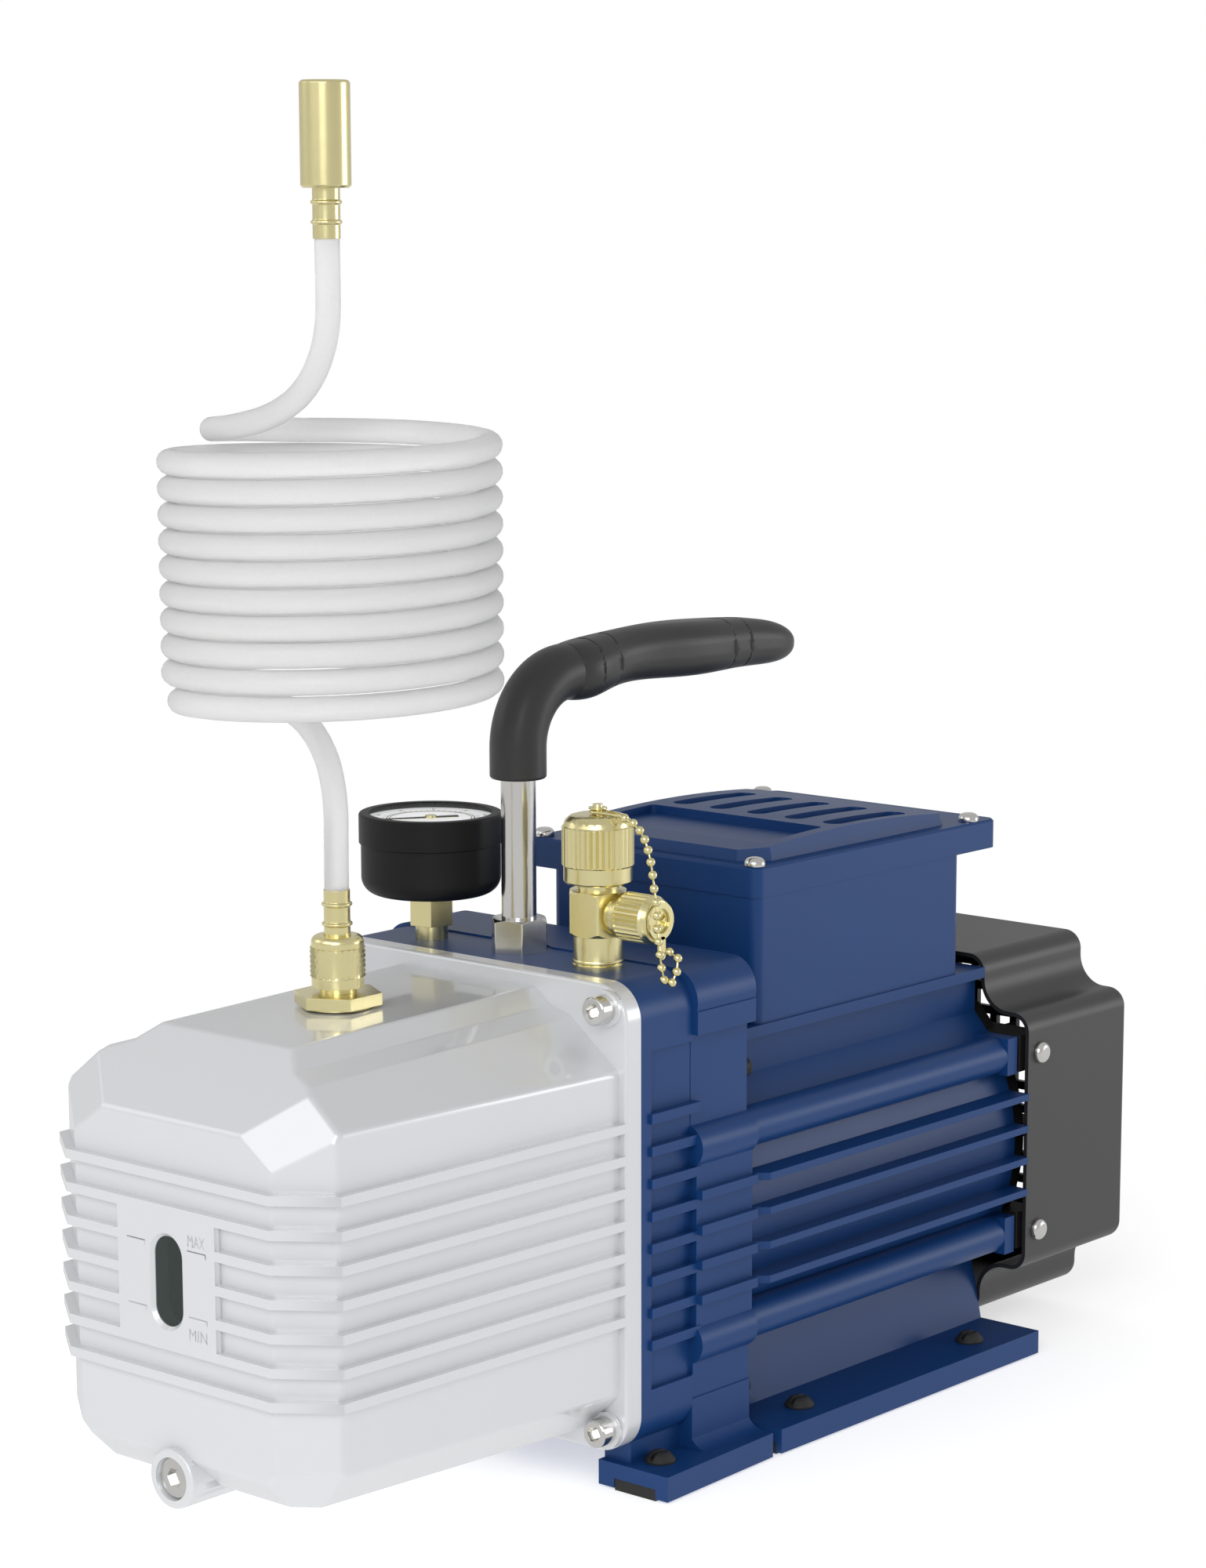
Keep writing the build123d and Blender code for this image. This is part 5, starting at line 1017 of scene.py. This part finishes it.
class PumpMotor(bpy.types.Operator):
    """Motor housing, rear shield, fan cover, grille and fan"""

    bl_idname = "pump.motor"
    bl_label = "Motor"

    def execute(self, context):
        dress("motor_housing", "blue_paint", sizes().edge)
        dress("rear_end_shield", "dark_cast", SHIELD_EDGE)
        cover = dress("fan_cover", "satin_cover", THIN_EDGE)
        rim = box_side(cover, 1) + DARK_RIM
        paint_faces(cover, "dark_cast", lambda place, normal: place.y < rim and normal.y < FORWARD)
        node_finish("fan_grille", "dark_cast")
        dress("fan_cover_screws", "bare_steel", THIN_EDGE)
        dress("cooling_fan", "dark_cast", SMALL_EDGE)
        return {"FINISHED"}


# Terminal box

# The lid's skirt is let down by this, in metres, to close the seam on the box
LID_SEAM = 0.0004


class PumpBox(bpy.types.Operator):
    """Terminal box, lid, gasket, screws, mains inlet and switch"""

    bl_idname = "pump.box"
    bl_label = "Terminal box"

    def execute(self, context):
        dress("terminal_box", "blue_paint", sizes().edge)
        lid = copy_of("terminal_box_lid", "box_lid")
        foot = box_side(lid, 2) + HAIR_EDGE
        pick(lid, lambda place, normal: place.z < foot, "VERT")
        bpy.ops.transform.translate(value=(0, 0, -LID_SEAM))
        leave()
        stand(ease(lid, sizes().edge), "terminal_box_lid", "blue_paint")
        node_finish("lid_gasket", "rubber")
        dress("lid_screws", "bare_steel", THIN_EDGE)
        dress("power_inlet", "ink_black", SMALL_EDGE)
        dress("switch_frame", "ink_black", SMALL_EDGE)
        dress("switch_rocker", "switch_red", ROCKER_EDGE)
        node_finish("box_electrics", "shiny_tin")
        return {"FINISHED"}


# Handle, with its grip's rings

# Places of the rings along the grip and half their width, in millimetres
GRIP_RINGS = (-15.2, -4.9, 55.9, 65.7)
RING_HALF = 0.7
RING_DRAW = 0.88
# Height above which the grip's arm lies, radius of what stays round, and nearness, in metres
ARM_FOOT = 0.255
ARM_CORE = 0.0078
NEAR = 0.00002


class PumpHandle(bpy.types.Operator):
    """Handle rod, lock nut and moulded grip with its rings"""

    bl_idname = "pump.handle"
    bl_label = "Handle"

    def execute(self, context):
        dress("handle_rod", "bare_steel")
        dress("handle_nut", "bare_steel", SMALL_EDGE)
        grip = copy_of("handle_grip", "moulded_grip", 0)
        for station in GRIP_RINGS:
            self.groove(grip, (station + SHIFT.y) * MM, RING_HALF * MM)
        stand(grip, "handle_grip", "soft_grip", angle=32)
        return {"FINISHED"}

    def groove(self, grip, station, half):
        """Narrow ring drawn in round the grip at one station along it"""
        for cut in (station - half, station, station + half):
            edit(grip)
            bpy.ops.mesh.bisect(plane_co=(0, cut, 0), plane_no=(0, 1, 0))
            leave()

        def on_arm(place):
            return abs(place.y - station) < NEAR and place.z > ARM_FOOT

        heights = [corner.co.z for corner in grip.data.vertices if on_arm(corner.co)]
        middle = (max(heights) + min(heights)) / 2
        pick(grip, lambda place, normal: on_arm(place) and hypot(place.x, place.z - middle) > ARM_CORE, "VERT")
        bpy.ops.transform.resize(value=(RING_DRAW, 1, RING_DRAW), center_override=(0, station, middle))
        leave()


# Gauge, with its dial in millimetres

DARK_ARC = (15.1, 15.5)
GOLD_ARC = (14.1, 14.5)
MARK_FOOT = 16.0
FIGURE_RING = (19.0, 20.2)
INK = 0.04
INK_GAP = 0.005
HUB = 2.1
# The scale starts and ends this many degrees from the dial's open side
SCALE_ENDS = (38, 322)
SCALE_PARTS = 40
FIGURE_EACH = 5
# Length of a mark, and half its width in degrees
LARGE_MARK = (2.2, 0.45)
SMALL_MARK = (1.2, 0.25)
# The two strokes of a figure, in degrees from its mark
FIGURE_STROKES = ((-1.6, -0.6), (0.4, 1.8))
ARC_STEP = 4


class PumpGauge(bpy.types.Operator):
    """Vacuum gauge with its printed dial"""

    bl_idname = "pump.gauge"
    bl_label = "Gauge"

    def execute(self, context):
        dress("gauge_stem", "pale_brass", FITTING_EDGE)
        dress("gauge_case", "gauge_black", SMALL_EDGE)
        dress("gauge_bezel", "gauge_black", SMALL_EDGE)
        dial = dress("gauge_dial", "dial_white_painted_glow")
        self.print_dial(box_side(dial, 2, max) / MM)
        dress("gauge_window", "thin_glass")
        needle = dress("gauge_needle", "ink_black")
        centre = (Vector((*GAUGE, 0)) + SHIFT) * MM

        def on_hub(place, normal):
            return hypot(place.x - centre.x, place.y - centre.y) < HUB * MM

        paint_faces(needle, "pale_brass", on_hub)
        return {"FINISHED"}

    def print_dial(self, top):
        """Two arcs and the scale marks, a thin layer of ink on the plate"""
        open_side = degrees(atan2(-ACROSS[0], ACROSS[1]))
        start, end = (open_side + turn for turn in SCALE_ENDS)
        dark = [self.arc("outer_arc", *DARK_ARC, start, end, top)]
        gold = [self.arc("inner_arc", *GOLD_ARC, start, end, top)]
        for index in range(SCALE_PARTS + 1):
            angle = start + (end - start) * index / SCALE_PARTS
            large = index % FIGURE_EACH == 0
            length, half = LARGE_MARK if large else SMALL_MARK
            dark.append(self.arc("mark", MARK_FOOT, MARK_FOOT + length, angle - half, angle + half, top))
            for before, after in FIGURE_STROKES if large else ():
                dark.append(self.arc("figure", *FIGURE_RING, angle + before, angle + after, top))
        for name, marks, look in (("dial_print", dark, "ink_black"), ("dial_gold", gold, "dial_gold")):
            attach(paint(merged(name, marks), look), "machine")

    def arc(self, name, inner, outer, start, end, top):
        """Flat piece of a ring round the middle of the dial"""
        steps = max(2, int((end - start) / ARC_STEP))
        angles = [radians(start + (end - start) * index / steps) for index in range(steps + 1)]
        outline = [(outer * cos(a), outer * sin(a)) for a in angles]
        outline += [(inner * cos(a), inner * sin(a)) for a in reversed(angles)]
        return prism(name, outline, INK, (*GAUGE, top + INK_GAP))


# Inlet tee, with its chain in millimetres

# The two halves of the chain meet here
CHAIN_JOINT = (68.1, -57, 208.3)
CHAIN_END = (67.0, -51.4, 183.2)
CHAIN_WIRE = 0.35
EYELET_WIRE = 0.4
EYELET_HEIGHT = 228.25
# Place along x where the tag's ring and leaf start
TAG_START = 66.4
TAG_WALL = 0.9


class PumpInlet(bpy.types.Operator):
    """Inlet tee with its caps and bead chain"""

    bl_idname = "pump.inlet"
    bl_label = "Inlet tee"

    def execute(self, context):
        dress("inlet_tee", "pale_brass", SMALL_EDGE)
        dress("inlet_cap", "pale_brass", HAIR_EDGE)
        dress("side_cap", "pale_brass", HAIR_EDGE)
        upper = [
            (53.0, -54.0, 227.6), (57.9, -55.3, 226.5), (61.6, -56.3, 224.6), (64.2, -56.8, 221.9),
            (65.8, -57, 218.6), (67.0, -57, 214.7), (67.8, -57, 210.5),
        ]
        lower = [
            (68.4, -57, 206.0), (69.2, -57, 201.5), (69.5, -57, 197.1), (69.7, -57, 192.6),
            (70.3, -57, 188.4), (70.9, -57, 184.1), (71.6, -57, 179.8), (72.6, -56.8, 175.9),
            (74.6, -55.2, 175.0), (75.3, -53.6, 178.5), (74.8, -52.4, 182.8), (70.7, -51.9, 184.3),
        ]
        eyelet = self.eyelet()
        chain = self.chain("upper_beads", upper, upper + [CHAIN_JOINT])
        stand(merged("upper_chain", chain + [eyelet]), "cap_chain_upper", "pale_brass")
        chain = self.chain("lower_beads", lower, [CHAIN_JOINT] + lower + [CHAIN_END])
        stand(merged("lower_chain", chain + self.tag()), "cap_chain_lower", "pale_brass")
        return {"FINISHED"}

    def eyelet(self):
        """Wire loop round the neck of the upper cap"""
        outline = (
            (36.9, -52.0), (37.5, -54.1), (40.5, -54.6), (47.0, -54.6), (51.6, -54.9),
            (52.8, -54.1), (51.6, -53.2), (47.0, -51.4), (40.5, -49.5), (37.5, -49.9),
        )
        return wire("eyelet", [(x, y, EYELET_HEIGHT) for x, y in outline], EYELET_WIRE, closed=True)

    def chain(self, name, places, route):
        """Beads on a thin wire"""
        bpy.ops.object.select_all(action="DESELECT")
        bpy.ops.mesh.primitive_uv_sphere_add(segments=14, ring_count=9, radius=sizes().bead / 2)
        first = settle(bpy.context.object, name)
        beads = [twin(first, name, Vector(place) + SHIFT) for place in places]
        bpy.data.objects.remove(first, do_unlink=True)
        return beads + [wire(name, route, CHAIN_WIRE)]

    def tag(self):
        """Ring on the end of the side cap and the leaf that hangs from it"""
        profile = [(4.3, 0), (6.4, 0), (6.4, TAG_WALL), (4.3, TAG_WALL), (4.3, 0)]
        ring = turned("tag_ring", profile, (TAG_START, -52, 194.2), (0, QUARTER, 0))
        outline = [(-1.6, -13), (1.6, -13), (1.6, -5.2), (-1.6, -5.2)]
        place = (TAG_START, -51.4, 194.2)
        leaf = prism("tag_leaf", outline, TAG_WALL, place, (QUARTER, 0, QUARTER), corner=1.3)
        profile = [(0, 0), (0.8, 0), (0.8, 3), (0, 3)]
        hole = turned("tag_hole", profile, (TAG_START - 1, -51.4, 183.0), (0, QUARTER, 0), steps=20)
        return [ring, bored(leaf, hole)]


# Parts inside


class PumpInside(bpy.types.Operator):
    """Finishes of the parts inside the casing and the motor"""

    bl_idname = "pump.inside"
    bl_label = "Inner parts"

    def execute(self, context):
        looks = {
            "pump_stages": "machined_iron",
            "pump_end_cover": "machined_iron",
            "pump_rotor": "bare_steel",
            "pump_vanes": "dark_cast",
            "through_bolts": "bare_steel",
            "shaft_seal": "rubber",
            "shaft_coupling": "shiny_tin",
            "stator": "shiny_tin",
            "motor_rotor": "shiny_tin",
            "motor_shaft": "bare_steel",
            "front_end_shield": "dark_cast",
            "bearing_outer_races": "bare_steel",
            "bearing_inner_races": "bare_steel",
        }
        for node, look in looks.items():
            node_finish(node, look)
        return {"FINISHED"}


# Panel and the run


PIECES = (
    PumpStage, PumpHose, PumpExhaust, PumpCasing, PumpBracket, PumpMotor, PumpBox, PumpHandle, PumpGauge,
    PumpInlet, PumpInside,
)


class PumpPanel(bpy.types.Panel):
    """Buttons for the pieces, with the sizes and colours above them"""

    bl_idname = "VIEW3D_PT_pump"
    bl_label = "Vacuum pump"
    bl_space_type = "VIEW_3D"
    bl_region_type = "UI"
    bl_category = "Vacuum Pump"

    def draw(self, context):
        for group in (context.scene.pump_sizes, context.scene.pump_colours):
            for key in group.bl_rna.properties.keys():
                if key not in ("rna_type", "name"):
                    self.layout.prop(group, key)
        for piece in PIECES:
            self.layout.operator(piece.bl_idname)


CLASSES = (PumpSizes, PumpColours, *PIECES, PumpPanel)


def register():
    for kind in CLASSES:
        bpy.utils.register_class(kind)
    bpy.types.Scene.pump_sizes = bpy.props.PointerProperty(type=PumpSizes)
    bpy.types.Scene.pump_colours = bpy.props.PointerProperty(type=PumpColours)


def unregister():
    del bpy.types.Scene.pump_colours
    del bpy.types.Scene.pump_sizes
    for kind in reversed(CLASSES):
        bpy.utils.unregister_class(kind)


def main():
    """Make every piece"""
    register()
    for piece in PIECES:
        group, name = piece.bl_idname.split(".")
        getattr(getattr(bpy.ops, group), name)()


if __name__ == "__main__":
    main()
